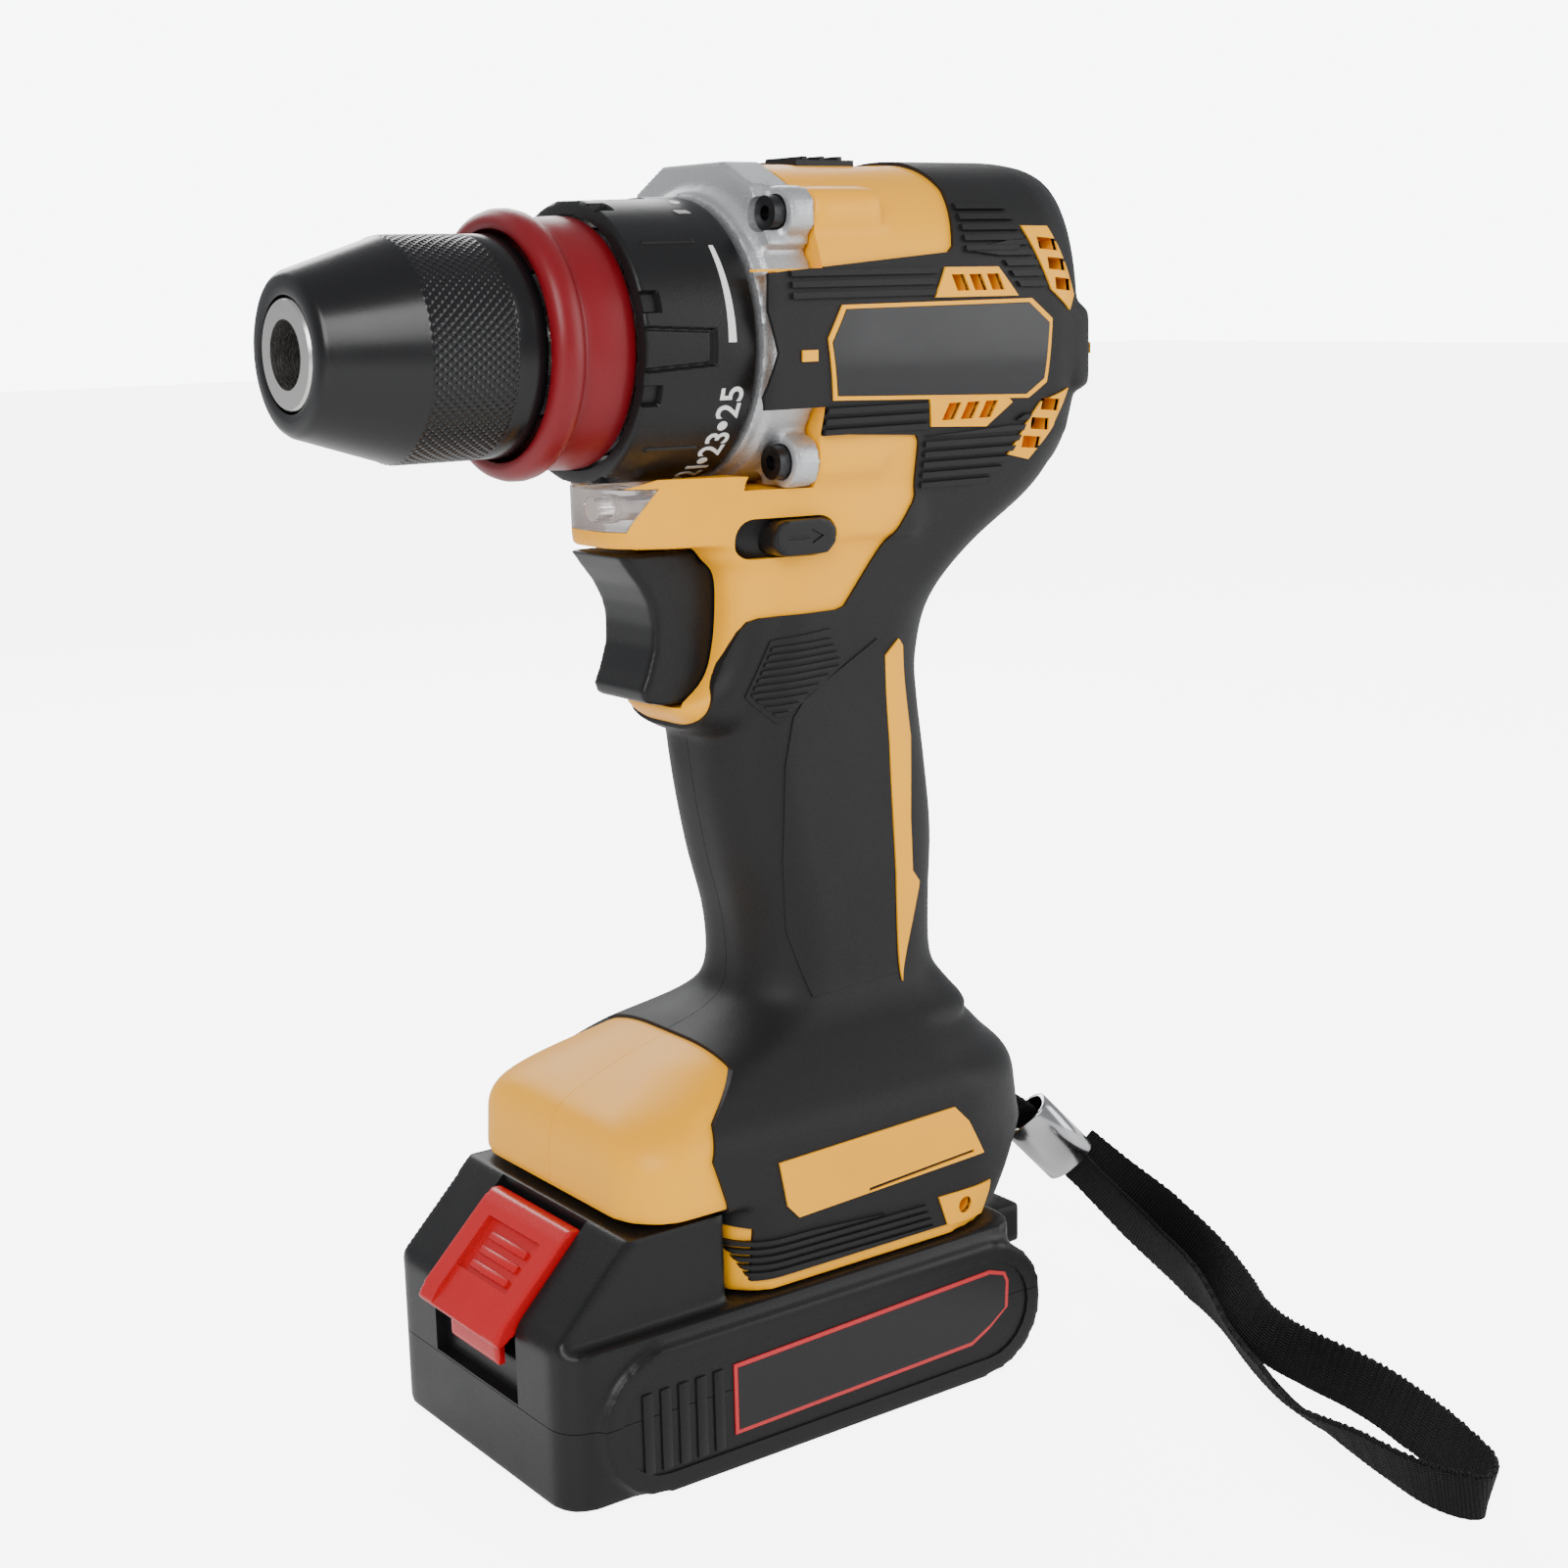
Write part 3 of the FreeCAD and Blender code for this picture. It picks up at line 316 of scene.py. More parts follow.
clear = Finish("clear_lens", (1.0, 0.93, 0.91), 0.05, 0.0, Transmission_Weight=0.92, IOR=1.45)
clear.bump(clear.noise(0.9, 1.0), 0.02)

# The weave: threads run along and across the webbing, one over the other. Each crossing is a small
# hill, this long and this wide in millimetres: the product of a sine wave along and one across.
KNOT_LENGTH, KNOT_WIDTH = 0.75, 0.62
weave = Finish("webbing", (0.006, 0.006, 0.006), 0.62, Specular_IOR_Level=0.12)
along = weave.attribute("along") * (math.pi / KNOT_LENGTH)
across = weave.attribute("across") * (math.pi / KNOT_WIDTH)
cloth = along.sine() * across.sine()
cloth = cloth.apply("ABSOLUTE").apply("POWER", 0.6)
# Painted shade: the colour is darker in the grooves between the crossings and lighter on their tops.
weave.set("Base Color", weave.mix(cloth, (0.002, 0.002, 0.002), (0.010, 0.010, 0.0105)))
weave.set("Roughness", cloth * -0.15 + 0.70)
weave.bump(cloth, 0.35)

floor_finish = Finish("floor", (0.86, 0.86, 0.86), 0.55)
floor_finish.set("Roughness", floor_finish.noise(0.01, 2.0) * 0.1 + 0.5)
from_camera = floor_finish.node("ShaderNodeLightPath").outputs["Is Camera Ray"]
floor_finish.set("Emission Color", floor_finish.mix(from_camera, (0.06, 0.06, 0.06), (1.0, 1.0, 1.0)))
floor_finish.set("Emission Strength", 6.0)
floor_mesh.materials.append(floor_finish.material)
studio = world.node_tree
sky_seen = Wire(studio, studio.nodes.new("ShaderNodeLightPath").outputs["Is Camera Ray"])
studio.links.new((sky_seen * 8.0 + 0.55).socket, studio.nodes["Background"].inputs["Strength"])
print("finishes", len(bpy.data.materials))

# %% [markdown]
# ## Making surfaces
# Every new piece starts as arrays of points: a stack of rings, a profile turned round the spindle,
# or an outline pushed sideways. Moulded parts join such forms into one skin, which is rebuilt
# as an even net of small squares and smoothed, so that the forms flow into each other the way
# a mould's blended corners do. Openings are then cut out cleanly.


# %% Surfaces from arrays
def net(rows, columns, loop):
    """Faces of a rows x columns grid of points whose columns close, and whose rows close if loop."""
    row = np.arange(rows if loop else rows - 1)[:, None]
    column = np.arange(columns)[None, :]
    after, beside = (row + 1) % rows * columns, (column + 1) % columns
    corners = [row * columns + column, row * columns + beside, after + beside, after + column]
    return np.stack([c + 0 * row for c in corners], -1).reshape(-1, 4).tolist()


def stack(rings):
    """A closed form: rings of points, one above another, with flat ends."""
    rings = np.asarray(rings, float)
    rows, columns = rings.shape[:2]
    ends = [list(range(columns))[::-1], list(range((rows - 1) * columns, rows * columns))]
    return rings.reshape(-1, 3), net(rows, columns, False) + ends


def turned(profile, segments=160, loop=True):
    """Turns (x, radius) points: (x, -r cos a, AXIS + r sin a) for angles a all the way round."""
    x, radius = np.asarray(profile, float).T
    angle = np.linspace(0, 2 * np.pi, segments, endpoint=False)
    rings = np.stack([np.repeat(x[:, None], segments, 1), -radius[:, None] * np.cos(angle),
                      AXIS + radius[:, None] * np.sin(angle)], -1)
    if loop:
        return rings.reshape(-1, 3), net(len(profile), segments, True)
    return stack(rings)


def rod(radius, x0, x1, y=0.0, z=AXIS, segments=48):
    points, faces = turned([(x0, radius), (x1, radius)], segments, False)
    return points + (0, y, z - AXIS), faces


def plate(outline, y0, y1):
    """An outline of (x, z) points from y0 to y1."""
    x, z = np.asarray(outline, float).T
    return stack([np.stack([x, np.full_like(x, y), z], -1) for y in (y0, y1)])


def cross_plate(outline, x0, x1):
    """An outline of (y, z) points from x0 to x1."""
    y, z = np.asarray(outline, float).T
    return stack([np.stack([np.full_like(y, x), y, z], -1) for x in (x0, x1)])


def cross_rod(radius, y0, y1, x, z, segments=40):
    angle = np.linspace(0, 2 * np.pi, segments, endpoint=False)
    return plate(np.stack([x + radius * np.cos(angle), z + radius * np.sin(angle)], -1), y0, y1)


def block(x0, x1, y0, y1, z0, z1):
    return plate([(x0, z0), (x1, z0), (x1, z1), (x0, z1)], y0, y1)


def mirrored(form):
    points, faces = form
    return points * (1, -1, 1), [f[::-1] for f in faces]


def both(*forms):
    """The forms and their mirror images on the other side of the tool."""
    return [g for f in forms for g in (f, mirrored(f))]


def rounded(table, steps=6, around=72, rear=1.0):
    """Rings from rows (z, front x, rear x, half width, corner radius), with a smooth curve between
    rows. A ring is a rounded rectangle: its point at angle a is the corner's centre plus the
    corner radius times (cos a, sin a). The rear corners are rear times rounder."""
    table = np.asarray(table, float)
    at = np.linspace(0, len(table) - 1, (len(table) - 1) * steps + 1)
    low = np.clip(at.astype(int), 0, len(table) - 2)
    t = (at - low)[:, None]
    padded = np.vstack([2 * table[0] - table[1], table, 2 * table[-1] - table[-2]])
    before, here, after, beyond = (padded[low + k] for k in range(4))
    # Catmull-Rom: a cubic through the middle two of four rows.
    rows = 0.5 * (2 * here + (after - before) * t + (2 * before - 5 * here + 4 * after - beyond)
                  * t ** 2 + (3 * here - before - 3 * after + beyond) * t ** 3)
    z, x0, x1, half, corner = (rows[:, k:k + 1] for k in range(5))
    corner = np.minimum(corner, np.minimum(half - 0.3, (x1 - x0) / 2 - 0.3))
    angle = np.linspace(0, 2 * np.pi, around, endpoint=False)[None, :]
    c, s = np.cos(angle), np.sin(angle)
    corner = np.where(c > 0, np.minimum(corner * rear, half - 0.3), corner)
    x = np.where(c > 0, x1 - corner, x0 + corner) + corner * c
    y = np.sign(s) * (half - corner) + corner * s
    return stack(np.stack([x, y, z + 0 * x], -1))


def shade(made, limit=35.0):
    """Smooth shading, with a crease at each edge where the faces turn by more than limit degrees."""
    mesh = made.data
    mesh.shade_smooth()
    loops = np.empty(len(mesh.loops), np.int64)
    mesh.loops.foreach_get("edge_index", loops)
    size = np.empty(len(mesh.polygons), np.int64)
    mesh.polygons.foreach_get("loop_total", size)
    normal = np.empty(len(mesh.polygons) * 3)
    mesh.polygons.foreach_get("normal", normal)
    owner = np.repeat(np.arange(len(size)), size)
    order = np.argsort(loops, kind="stable")
    edge, owner = loops[order], owner[order]
    pair = np.flatnonzero(edge[1:] == edge[:-1])
    normal = normal.reshape(-1, 3)
    turn = (normal[owner[pair]] * normal[owner[pair + 1]]).sum(1)
    sharp = np.zeros(len(mesh.edges), bool)
    sharp[edge[pair[turn < math.cos(math.radians(limit))]]] = True
    mark = mesh.attributes.get("sharp_edge") or mesh.attributes.new("sharp_edge", "BOOLEAN", "EDGE")
    mark.data.foreach_set("value", sharp)


def piece(name, forms, material=None, limit=35.0):
    """A mesh object of one or more closed forms, in millimetres, with its normals outward."""
    points, faces, count = [], [], 0
    for form_points, form_faces in forms:
        points.append(form_points)
        faces += [[i + count for i in f] for f in form_faces]
        count += len(form_points)
    mesh = bpy.data.meshes.new(name)
    mesh.from_pydata((np.vstack(points) * MM).tolist(), [], faces)
    work = bmesh.new()
    work.from_mesh(mesh)
    bmesh.ops.recalc_face_normals(work, faces=work.faces)
    work.to_mesh(mesh)
    work.free()
    made = bpy.data.objects.new(name, mesh)
    bpy.context.scene.collection.objects.link(made)
    if material:
        mesh.materials.append(material)
        shade(made, limit)
    return made


def settle(made):
    """Turns the modifiers of an object into its mesh."""
    graph = bpy.context.evaluated_depsgraph_get()
    mesh = bpy.data.meshes.new_from_object(made.evaluated_get(graph))
    made.modifiers.clear()
    made.data = mesh
    return made


def modified(made, kind, **settings):
    modifier = made.modifiers.new(kind, kind)
    for key, value in settings.items():
        setattr(modifier, key, value)
    return settle(made)


def moulded(name, forms, cell, rounds):
    """Forms joined into one skin of squares cell millimetres wide, smoothed in so many rounds."""
    made = modified(piece(name, forms), "REMESH", mode="VOXEL", voxel_size=cell * MM)
    return modified(made, "SMOOTH", factor=0.5, iterations=rounds)


def copied(made, name):
    """A second object with a mesh of its own."""
    copy = bpy.data.objects.new(name, made.data.copy())
    bpy.context.scene.collection.objects.link(copy)
    return copy


def cut(made, forms, operation="DIFFERENCE"):
    """Takes each form away from an object, or keeps only what is inside it."""
    for form in forms:
        tool = piece("tool", form if isinstance(form, list) else [form])
        modified(made, "BOOLEAN", object=tool, operation=operation, solver="MANIFOLD")
        bpy.data.objects.remove(tool)
    return made


def swollen(made, by, name):
    """A copy of a moulded skin, moved out along its normals by so many millimetres."""
    copy = copied(made, name)
    count = len(copy.data.vertices)
    place, normal = np.empty(count * 3), np.empty(count * 3)
    copy.data.vertices.foreach_get("co", place)
    copy.data.vertex_normals.foreach_get("vector", normal)
    copy.data.vertices.foreach_set("co", place + normal * by * MM)
    copy.data.update()
    return copy


def finished(made, name, material, body, *replaced, limit=32.0):
    """Names and finishes a piece, and lets it move with its body in place of CAD nodes."""
    made.name = name
    made.data.name = name
    made.data.materials.clear()
    made.data.materials.append(material)
    shade(made, limit)
    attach(made, body)
    if replaced:
        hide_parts(*replaced)
    print(name, len(made.data.polygons), "faces")
    return made


# %% [markdown]
# ## The webbing and its ferrule
# The strip is a ring of twelve points swept along the route: 12 mm wide and 1.24 mm thick with
# round selvedges. Its width leans from the table by the angle listed at each point, which gives
# the twists.

# %% The webbing
step = np.linalg.norm(np.diff(line, axis=0), axis=1)
run = np.concatenate([[0], np.cumsum(step)])
pick = np.linspace(0, run[-1], 420)
centre = np.stack([np.interp(pick, run, line[:, k]) for k in range(3)], -1)
tangent = np.gradient(centre, axis=0)
tangent /= np.linalg.norm(tangent, axis=1)[:, None]
reach = np.concatenate([[0], np.cumsum(np.linalg.norm(np.diff(route, axis=0), axis=1))])
lean = np.radians(np.interp(pick / run[-1], reach / reach[-1], tilts))
flat = np.cross(tangent, [0, 0, 1.0])
flat /= np.linalg.norm(flat, axis=1)[:, None]
rise = np.cross(flat, tangent)
wide = flat * np.cos(lean)[:, None] + rise * np.sin(lean)[:, None]
thick = np.cross(tangent, wide)
half_width, half_thickness = 6.0, 0.62  # in millimetres
shape = np.array([(-1, 0), (-0.93, 1), (-0.5, 1), (0, 1), (0.5, 1), (0.93, 1), (1, 0), (0.93, -1),
                  (0.5, -1), (0, -1), (-0.5, -1), (-0.93, -1)], float)
narrow = np.interp(pick / run[-1], [0, 0.06, 0.075, 0.12, 0.16, 0.93, 0.97, 1.0],
                   [0.62, 0.62, 0.7, 0.74, 1, 1, 0.8, 0.7])[:, None, None]
selvedge = 1 + 0.035 * np.sin(pick / MM * math.pi / KNOT_LENGTH)[:, None, None]
rings = (centre[:, None] + wide[:, None] * shape[None, :, :1] * (half_width * MM) * narrow * selvedge
         + thick[:, None] * shape[None, :, 1:] * (half_thickness * MM))
lowest = rings[..., 2].min(1)
clearance = 0.3 * MM
rings[..., 2] += np.maximum(clearance - lowest, 0)[:, None]
points, faces = stack(rings / MM)
strap = piece("strap_webbing_strip", [(points, faces)], weave.material, 60)
for name, values in (("along", np.repeat(pick / MM, len(shape))),
                     ("across", np.tile(shape[:, 0] * half_width, len(pick)))):
    strap.data.attributes.new(name, "FLOAT", "POINT").data.foreach_set("value", values)
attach(strap, "housing")
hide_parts("strap_webbing")

# %% The ferrule
# An oval tube between two points of the route. Each section is (distance along it, growth of the
# wall): the outer wall first, with its rounded ends, and then back along the inner wall.
start, finish = np.array([89.6, -2.0, 41.9]), np.array([101.8, -5.0, 28.4])
way = finish - start
length = np.linalg.norm(way)
way /= length
side = np.cross(way, [0, 0, 1.0])
side /= np.linalg.norm(side)
over = np.cross(side, way)
lean = math.radians(72)
wide_way = side * math.cos(lean) + over * math.sin(lean)
thick_way = np.cross(way, wide_way)
ferrule_angle = np.linspace(0, 2 * np.pi, 64, endpoint=False)
c, s = np.cos(ferrule_angle), np.sin(ferrule_angle)
oval = np.stack([6.3 * np.sign(c) * np.abs(c) ** 0.75, 4.1 * np.sign(s) * np.abs(s) ** 0.75], -1)
mean_radius = 4.6  # growth is in millimetres at this distance from the middle
sections = []
for place, grow in ((0, 0), (0.3, 0.25), (length - 0.3, 0.25), (length, 0), (length, -0.5),
                    (length - 0.8, -0.6), (0.8, -0.6), (0, -0.5)):
    wall = oval * (1 + grow / mean_radius)
    sections.append(start + way * place + wall[:, :1] * wide_way + wall[:, 1:] * thick_way)
sections = np.array(sections)
ferrule = piece("strap_ferrule_tube", [(sections.reshape(-1, 3), net(8, 64, True))], polished, 50)
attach(ferrule, "housing")
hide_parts("strap_ferrule")

# %% [markdown]
# ## The housing
# Two halves of glass-filled nylon, moulded in yellow, meet on the middle plane. The skin joins a
# barrel round the motor, a grip, a foot and a head under the collar. A narrow bumper closes the
# barrel's rear end, and two cheeks hold the trigger and end below it in a lip. All forms are drawn
# 0.8 mm inside the full size, which is the depth that the rubber is let in on top.

# %% The yellow skin
INSET = 0.8
handle = np.array([
    (80, -20, 62, 25, 17), (85, -2, 58.5, 20.5, 15), (91, 5, 55.5, 18, 14),
    (104, 5.2, 55.4, 17.6, 14), (120, 1.4, 55.9, 17.9, 14), (136, -1.6, 54.4, 18.2, 14.5),
    (150, -3, 52.4, 18.8, 15), (160, -2.6, 51.6, 19.8, 15.5), (172, -1.4, 54.5, 21.5, 16),
    (183, -1, 65, 22.8, 16), (195, -0.6, 81, 25.5, 16), (207.3, -0.4, 88, 29.3, 16)], float)
foot_top = np.array([
    (54.6, -41.5, 74, 36, 13), (61, -41.2, 73.4, 35.9, 13), (68, -40.5, 72, 35.2, 13),
    (73.5, -36.5, 68, 31, 15), (80, -20, 62, 25, 17)], float)
foot_low = np.array([(34.5, -18, 65, 35.6, 11), (44, -18, 70, 35.9, 11), (54.6, -18, 74, 36, 11)],
                    float)
for table in (handle, foot_top, foot_low):
    table[:, 1] += INSET
    table[:, 2:4] -= INSET
    table[:, 4] -= INSET

barrel_share = np.array([(-2, 1, 1), (76, 1, 1), (81, 0.93, 0.99), (85, 0.81, 0.975), (89, 0.67, 0.95),
                         (93, 0.51, 0.90), (96, 0.37, 0.83), (98.5, 0.24, 0.72), (100, 0.12, 0.55)])
barrel_angle = np.linspace(0, 2 * np.pi, 160, endpoint=False)
# A superellipse: cosine and sine are raised to a power below 1, which squares the round section.
superellipse = np.stack([np.sign(f) * np.abs(f) ** (2 / 2.45) for f in
                         (np.cos(barrel_angle), np.sin(barrel_angle))], -1)
barrel_y, barrel_z = 32, 35.5  # its half width and half height before it tapers
barrel = stack([np.column_stack([np.full(160, x - INSET),
                                 superellipse[:, 0] * (barrel_y * share_y - INSET),
                                 AXIS + superellipse[:, 1] * (barrel_z * share_z - INSET)])
                for x, share_y, share_z in barrel_share])
bumper = [(82, 30.8), (86, 28.5), (91, 22.5), (95.5, 16), (99, 9.5), (101, 4)]
bumper += [(x, -y) for x, y in reversed(bumper)]
bumper = [(x - INSET, y * 0.975, z) for z in (215.5, 232.0) for x, y in bumper]
bumper = stack(np.array(bumper).reshape(2, 12, 3))
head_half = [(-26, 0.01), (-25.7, 6), (-23.4, 11.5), (-16, 16.5), (-6, 20.6), (6, 23.6), (22, 26),
             (40, 26)]
head_half = [(x + INSET, max(y - INSET, 0)) for x, y in head_half]
head_plan = np.array(head_half[1:] + [(x, -y) for x, y in reversed(head_half[1:])])
head = stack([np.column_stack([head_plan, np.full(len(head_plan), z)]) for z in (187.2, 206)])
LUG_Y, LUG_Z = 23.4, 24.3  # the cover screws stand this far from the spindle axis


def at_lugs(radius, x0, x1, segments=48):
    """A rod at each of the four cover screws."""
    return [rod(radius, x0, x1, y, AXIS + z, segments) for y in (-LUG_Y, LUG_Y)
            for z in (-LUG_Z, LUG_Z)]


cheeks = np.array([
    (147.5, -5, 25, 11, 7), (149.5, -8.5, 25, 14, 8), (152, -11.5, 25, 15.8, 8.5),
    (154.5, -12.5, 25, 16.6, 8.5), (157.5, -8, 25, 17.4, 7.5), (161, -5, 25, 18.3, 7),
    (166, -3.5, 25, 19.2, 7), (172, -2.6, 25, 20.2, 7), (181, -2.6, 25, 21.2, 8),
    (184.5, -6, 25, 21.4, 8), (190, -9, 25, 21.6, 9)], float)
cheeks[:, 1] += INSET
cheeks[:, 3] -= INSET
forms = [barrel, bumper, rounded(handle), rounded(foot_top, rear=2.4), rounded(foot_low, rear=2.7),
         head, rounded(cheeks, 4), *at_lugs(5.2, 13.0, 30.0)]
skin = moulded("skin", forms, 1.15, 9)
print("skin", len(skin.data.polygons), "faces")

# %% [markdown]
# ## Openings in the housing
# The gearbox cover, the torque collar's cradle, the trigger, the work light, the direction button,
# the speed selector, the vents, the battery's rails and the strap each take a clean opening.

# %% Cutting tools shared by the yellow and the rubber
button_z, button_r = 188.4, 3.8
half_circle = np.radians(np.arange(-90, 91, 15.0))


def stadium(x0, x1, z, radius):
    """An outline with round ends."""
    c, s = radius * np.cos(half_circle), radius * np.sin(half_circle)
    ends = [(x1 - radius + c, z + s), (x0 + radius - c, z - s)]
    return np.column_stack(np.concatenate(ends, -1))


vent_slots = []
for x, z0, z1, tilt in ((45.2, 236.4, 239.7, -0.6), (49.9, 236.4, 239.7, -0.6),
                        (54.6, 236.4, 239.7, -0.6), (43.6, 210.3, 213.8, 0.6),
                        (48.6, 210.3, 213.8, 0.6), (53.6, 210.3, 213.8, 0.6)):
    vent_slots.append(plate([(x - tilt, z0), (x + 3.4 - tilt, z0), (x + 3.4 + tilt, z1),
                             (x + tilt, z1)], -40, -26.5))
for x, z in ((72.3, 245.6), (74.0, 241.4), (75.4, 237.2), (68.6, 204.4), (70.6, 208.2),
             (72.6, 212.2)):
    vent_slots.append(plate([(x - 2.6, z - 1.0), (x + 2.6, z - 1.5), (x + 2.6, z + 1.0),
                             (x - 2.6, z + 1.5)], -40, -24.5))
vents = vent_slots + [mirrored(f) for f in vent_slots]
hook_holes = [cross_rod(1.9, -60, -28.2, 42.4, 41.0), cross_rod(1.9, 28.2, 60, 43.2, 40.5)]
hollows = [
    # the cradle of the collar and the cover, with its sides and top open
    rod(30.4, -40, 13, segments=120), rod(29.3, -40, -1, segments=120),
    block(-40, 13, -50, 50, AXIS + 13.5, AXIS + 60), block(-1, 13, -50, 50, 198.3, 214.5),
    block(-40, -1, -50, 50, 201.2, 214.5),
    # the trigger, the battery's neck and ears, the speed selector and the strap
    block(-30, 16.4, -10.3, 10.3, 154, 187.5),
    block(-19.5, 56, -23.5, 23.5, 33, 40.2), block(-19.5, 56, -27.5, 27.5, 39.8, 50.6),
    block(23.2, 47.2, -8, 8, 255, 275), block(60, 90, -4.5, 4.5, 47, 55.5),
    *hook_holes]
button_wells = both(plate(stadium(-3.0, 19.4, button_z, button_r + 0.35), -60, -17.5))
screw_wells = [cross_rod(3.0, 10.4, 60, x, z, 28) for x, z in
               ((88, 247), (84, 207), (38, 190), (6, 150.5), (47, 120), (12, 98), (-30, 62),
                (62, 62))]
lens_line = [(-14.5, 199.4), (14.5, 199.4), (10.5, 190.8), (-10.5, 190.8)]
lens_well = cross_plate(lens_line, -30, -15)
tools = [*hollows, *button_wells, *screw_wells]

# %% [markdown]
# ## The rubber overmould
# Soft black rubber covers the grip, the foot and the rear of the motor housing. Its edge runs as
# a crisp line seen from the side, so the skin is moved out by its depth, kept only inside
# that side outline, and the yellow form is taken away from it.

# %% The rubber
rubber_line = [(-20.5, 72.5), (-10, 80), (-8, 150.5), (-5.5, 158.0), (-3.9, 161.1), (-0.6, 169.3),
               (0.8, 171.4), (2.9, 172.1), (21.4, 172.3), (23.4, 172.9), (38.6, 193.6),
               (39.1, 195), (37.8, 206.4), (37.2, 207.6), (5, 209.5), (-1.4, 210.8), (-2.4, 217.1),
               (0.6, 225.5), (-1.6, 233.5), (-0.8, 240.7), (11.3, 241.6), (45.4, 244.2),
               (46.9, 245.4), (50.6, 256.8), (50.0, 275), (115, 275), (115, 150), (85, 120),
               (85, 37.5), (-13.4, 37.5), (-12.7, 48.9), (-18.0, 49.8), (-23, 66)]
cover = swollen(skin, INSET, "rubber")
cut(cover, [plate(rubber_line, -60, 60)], "INTERSECT")


def less(made, other):
    """Takes a moulded skin away from an object."""
    return modified(made, "BOOLEAN", object=other, operation="DIFFERENCE", solver="MANIFOLD")


less(cover, skin)
print("rubber", len(cover.data.polygons), "faces")


HALF_JOINT = 0.07  # half the gap between the two halves


def sides(made, name, material, *replaced):
    """Splits a part at the middle plane into its left and right piece, with a fine joint."""
    for word, y0, y1, node in (("left", -70, -HALF_JOINT, 0), ("right", HALF_JOINT, 70, 1)):
        half = copied(made, name)
        cut(half, [block(-130, 140, y0, y1, -10, 300)], "INTERSECT")
        finished(half, f"{name}_{word}", material, "housing", *replaced[node:node + 1])
    bpy.data.objects.remove(made)


def patch(outlines, low, high):
    """Skin between two depths inside side outlines, on both sides of the tool."""
    made = swollen(skin, high, "patch")
    cut(made, [[form for line in outlines for form in both(plate(line, -60, -2))]], "INTERSECT")
    inner = swollen(skin, low, "inner")
    less(made, inner)
    bpy.data.objects.remove(inner)
    return made


def bars(outline, pitch, width, slope=0.0):
    """Strips of an outline of (x, z) points, each as wide as the outline is at its height."""
    outline = np.array(outline, float)
    x, z = outline[:, 0], outline[:, 1] - slope * outline[:, 0]
    found = []
    for middle in np.arange(z.min() + pitch * 0.6, z.max() - width * 0.5, pitch):
        ends = []
        for height in (middle - width / 2, middle + width / 2):
            nx, nz = np.roll(x, -1), np.roll(z, -1)
            crossed = (z <= height) != (nz <= height)
            at = (x + (height - z) / np.where(nz == z, 1, nz - z) * (nx - x))[crossed]
            if len(at) < 2:
                break
            ends.append((at.min(), at.max(), height))
        if len(ends) == 2 and min(e[1] - e[0] for e in ends) > 1.0:
            (a0, a1, low), (b0, b1, high) = ends
            found.append([(a0, low + slope * a0), (a1, low + slope * a1), (b1, high + slope * b1),
                          (b0, high + slope * b0)])
    return found


cut(cover, tools + [vents])
shell = copied(skin, "shell")
cut(shell, tools + [vents, at_lugs(1.9, 0, 27, 24), lens_well,
                    both(block(-6, 1.5, -50, -20, 210.5, 241))])

# %% The work light
# The lens is a part of the same skin, so it lies flush in the head. It is bored for the light
# diode, and a white seat behind it gives the clear plastic something to show.
lens = copied(skin, "lens")
lens_glass = [(-14.3, 199.25), (14.3, 199.25), (10.4, 190.95), (-10.4, 190.95)]
cut(lens, [cross_plate(lens_glass, -30, -17)], "INTERSECT")
cut(lens, [rod(2.6, -23.2, -16, 0, 195, 32)])
finished(lens, "work_light_lens", clear.material, "housing", "led_lens")
seat = piece("seat", [cross_plate(lens_glass, -16.9, -16.2), rod(2.3, -22.6, -16.4, 0, 195, 32)])
finished(seat, "work_light_seat", white, "housing")
sides(shell, "housing_shell", yellow, "housing_left", "housing_right")
sides(cover, "grip_rubber", rubber, "grip_overmould_left", "grip_overmould_right")

# %% [markdown]
# ## Ribs, panels and plates
# On the rubber lie blocks of fine ribs for grip, a smooth palm panel, and yellow inlays. The
# name plate has a thin yellow frame, and the vents look out of yellow frames too.

# %% Black ribs and panels
rib_lines = []
for outline in ([(50.6, 254.6), (63.6, 254.4), (66.3, 247.2), (62.6, 243.6), (49.6, 243.6)],
                [(49.0, 244.4), (66.3, 247.2), (70.4, 236.8), (63.5, 236.2), (58.5, 243.6)],
                [(4.3, 242.0), (41.8, 242.0), (39.5, 235.0), (4.0, 235.0)],
                [(3.0, 214.7), (38.5, 214.7), (40.0, 208.0), (5.0, 208.0)],
                [(39.0, 208.0), (62.0, 208.2), (68.6, 212), (62, 199.6), (56.7, 195.6), (40.1, 196.2)]):
    rib_lines += bars(outline, 2.15, 1.15)
foot_ribs = [(-18.2, 47.3), (31.2, 43.9), (33.6, 38.2), (-13.7, 38.0)]
rib_lines += bars(foot_ribs, 1.7, 0.95, -0.02)
thumb = [(5.6, 167.2), (19.8, 168.5), (24.4, 160.8), (7.7, 149.5), (0.6, 155.8)]
thumb_ribs = [(6.2, 166.2), (19.3, 167.5), (23.3, 160.9), (7.9, 150.6), (1.8, 156)]
rib_lines += bars(thumb_ribs, 1.55, 0.8, 0.05)
ribs = patch(rib_lines, 0.2, 1.5)
cut(ribs, [hollows])
sides(ribs, "grip_ribs", rubber)
palm = [(11.5, 150.5), (14.6, 154.6), (32.5, 165.0), (34.9, 161), (36.8, 142.6), (38.4, 112.5),
        (38.6, 90.6), (15.4, 89.4), (11.0, 104), (9.4, 120), (9.6, 140)]
panels = patch([palm, thumb], 0.1, 1.1)
cut(panels, [hollows])
sides(panels, "grip_panels", rubber)

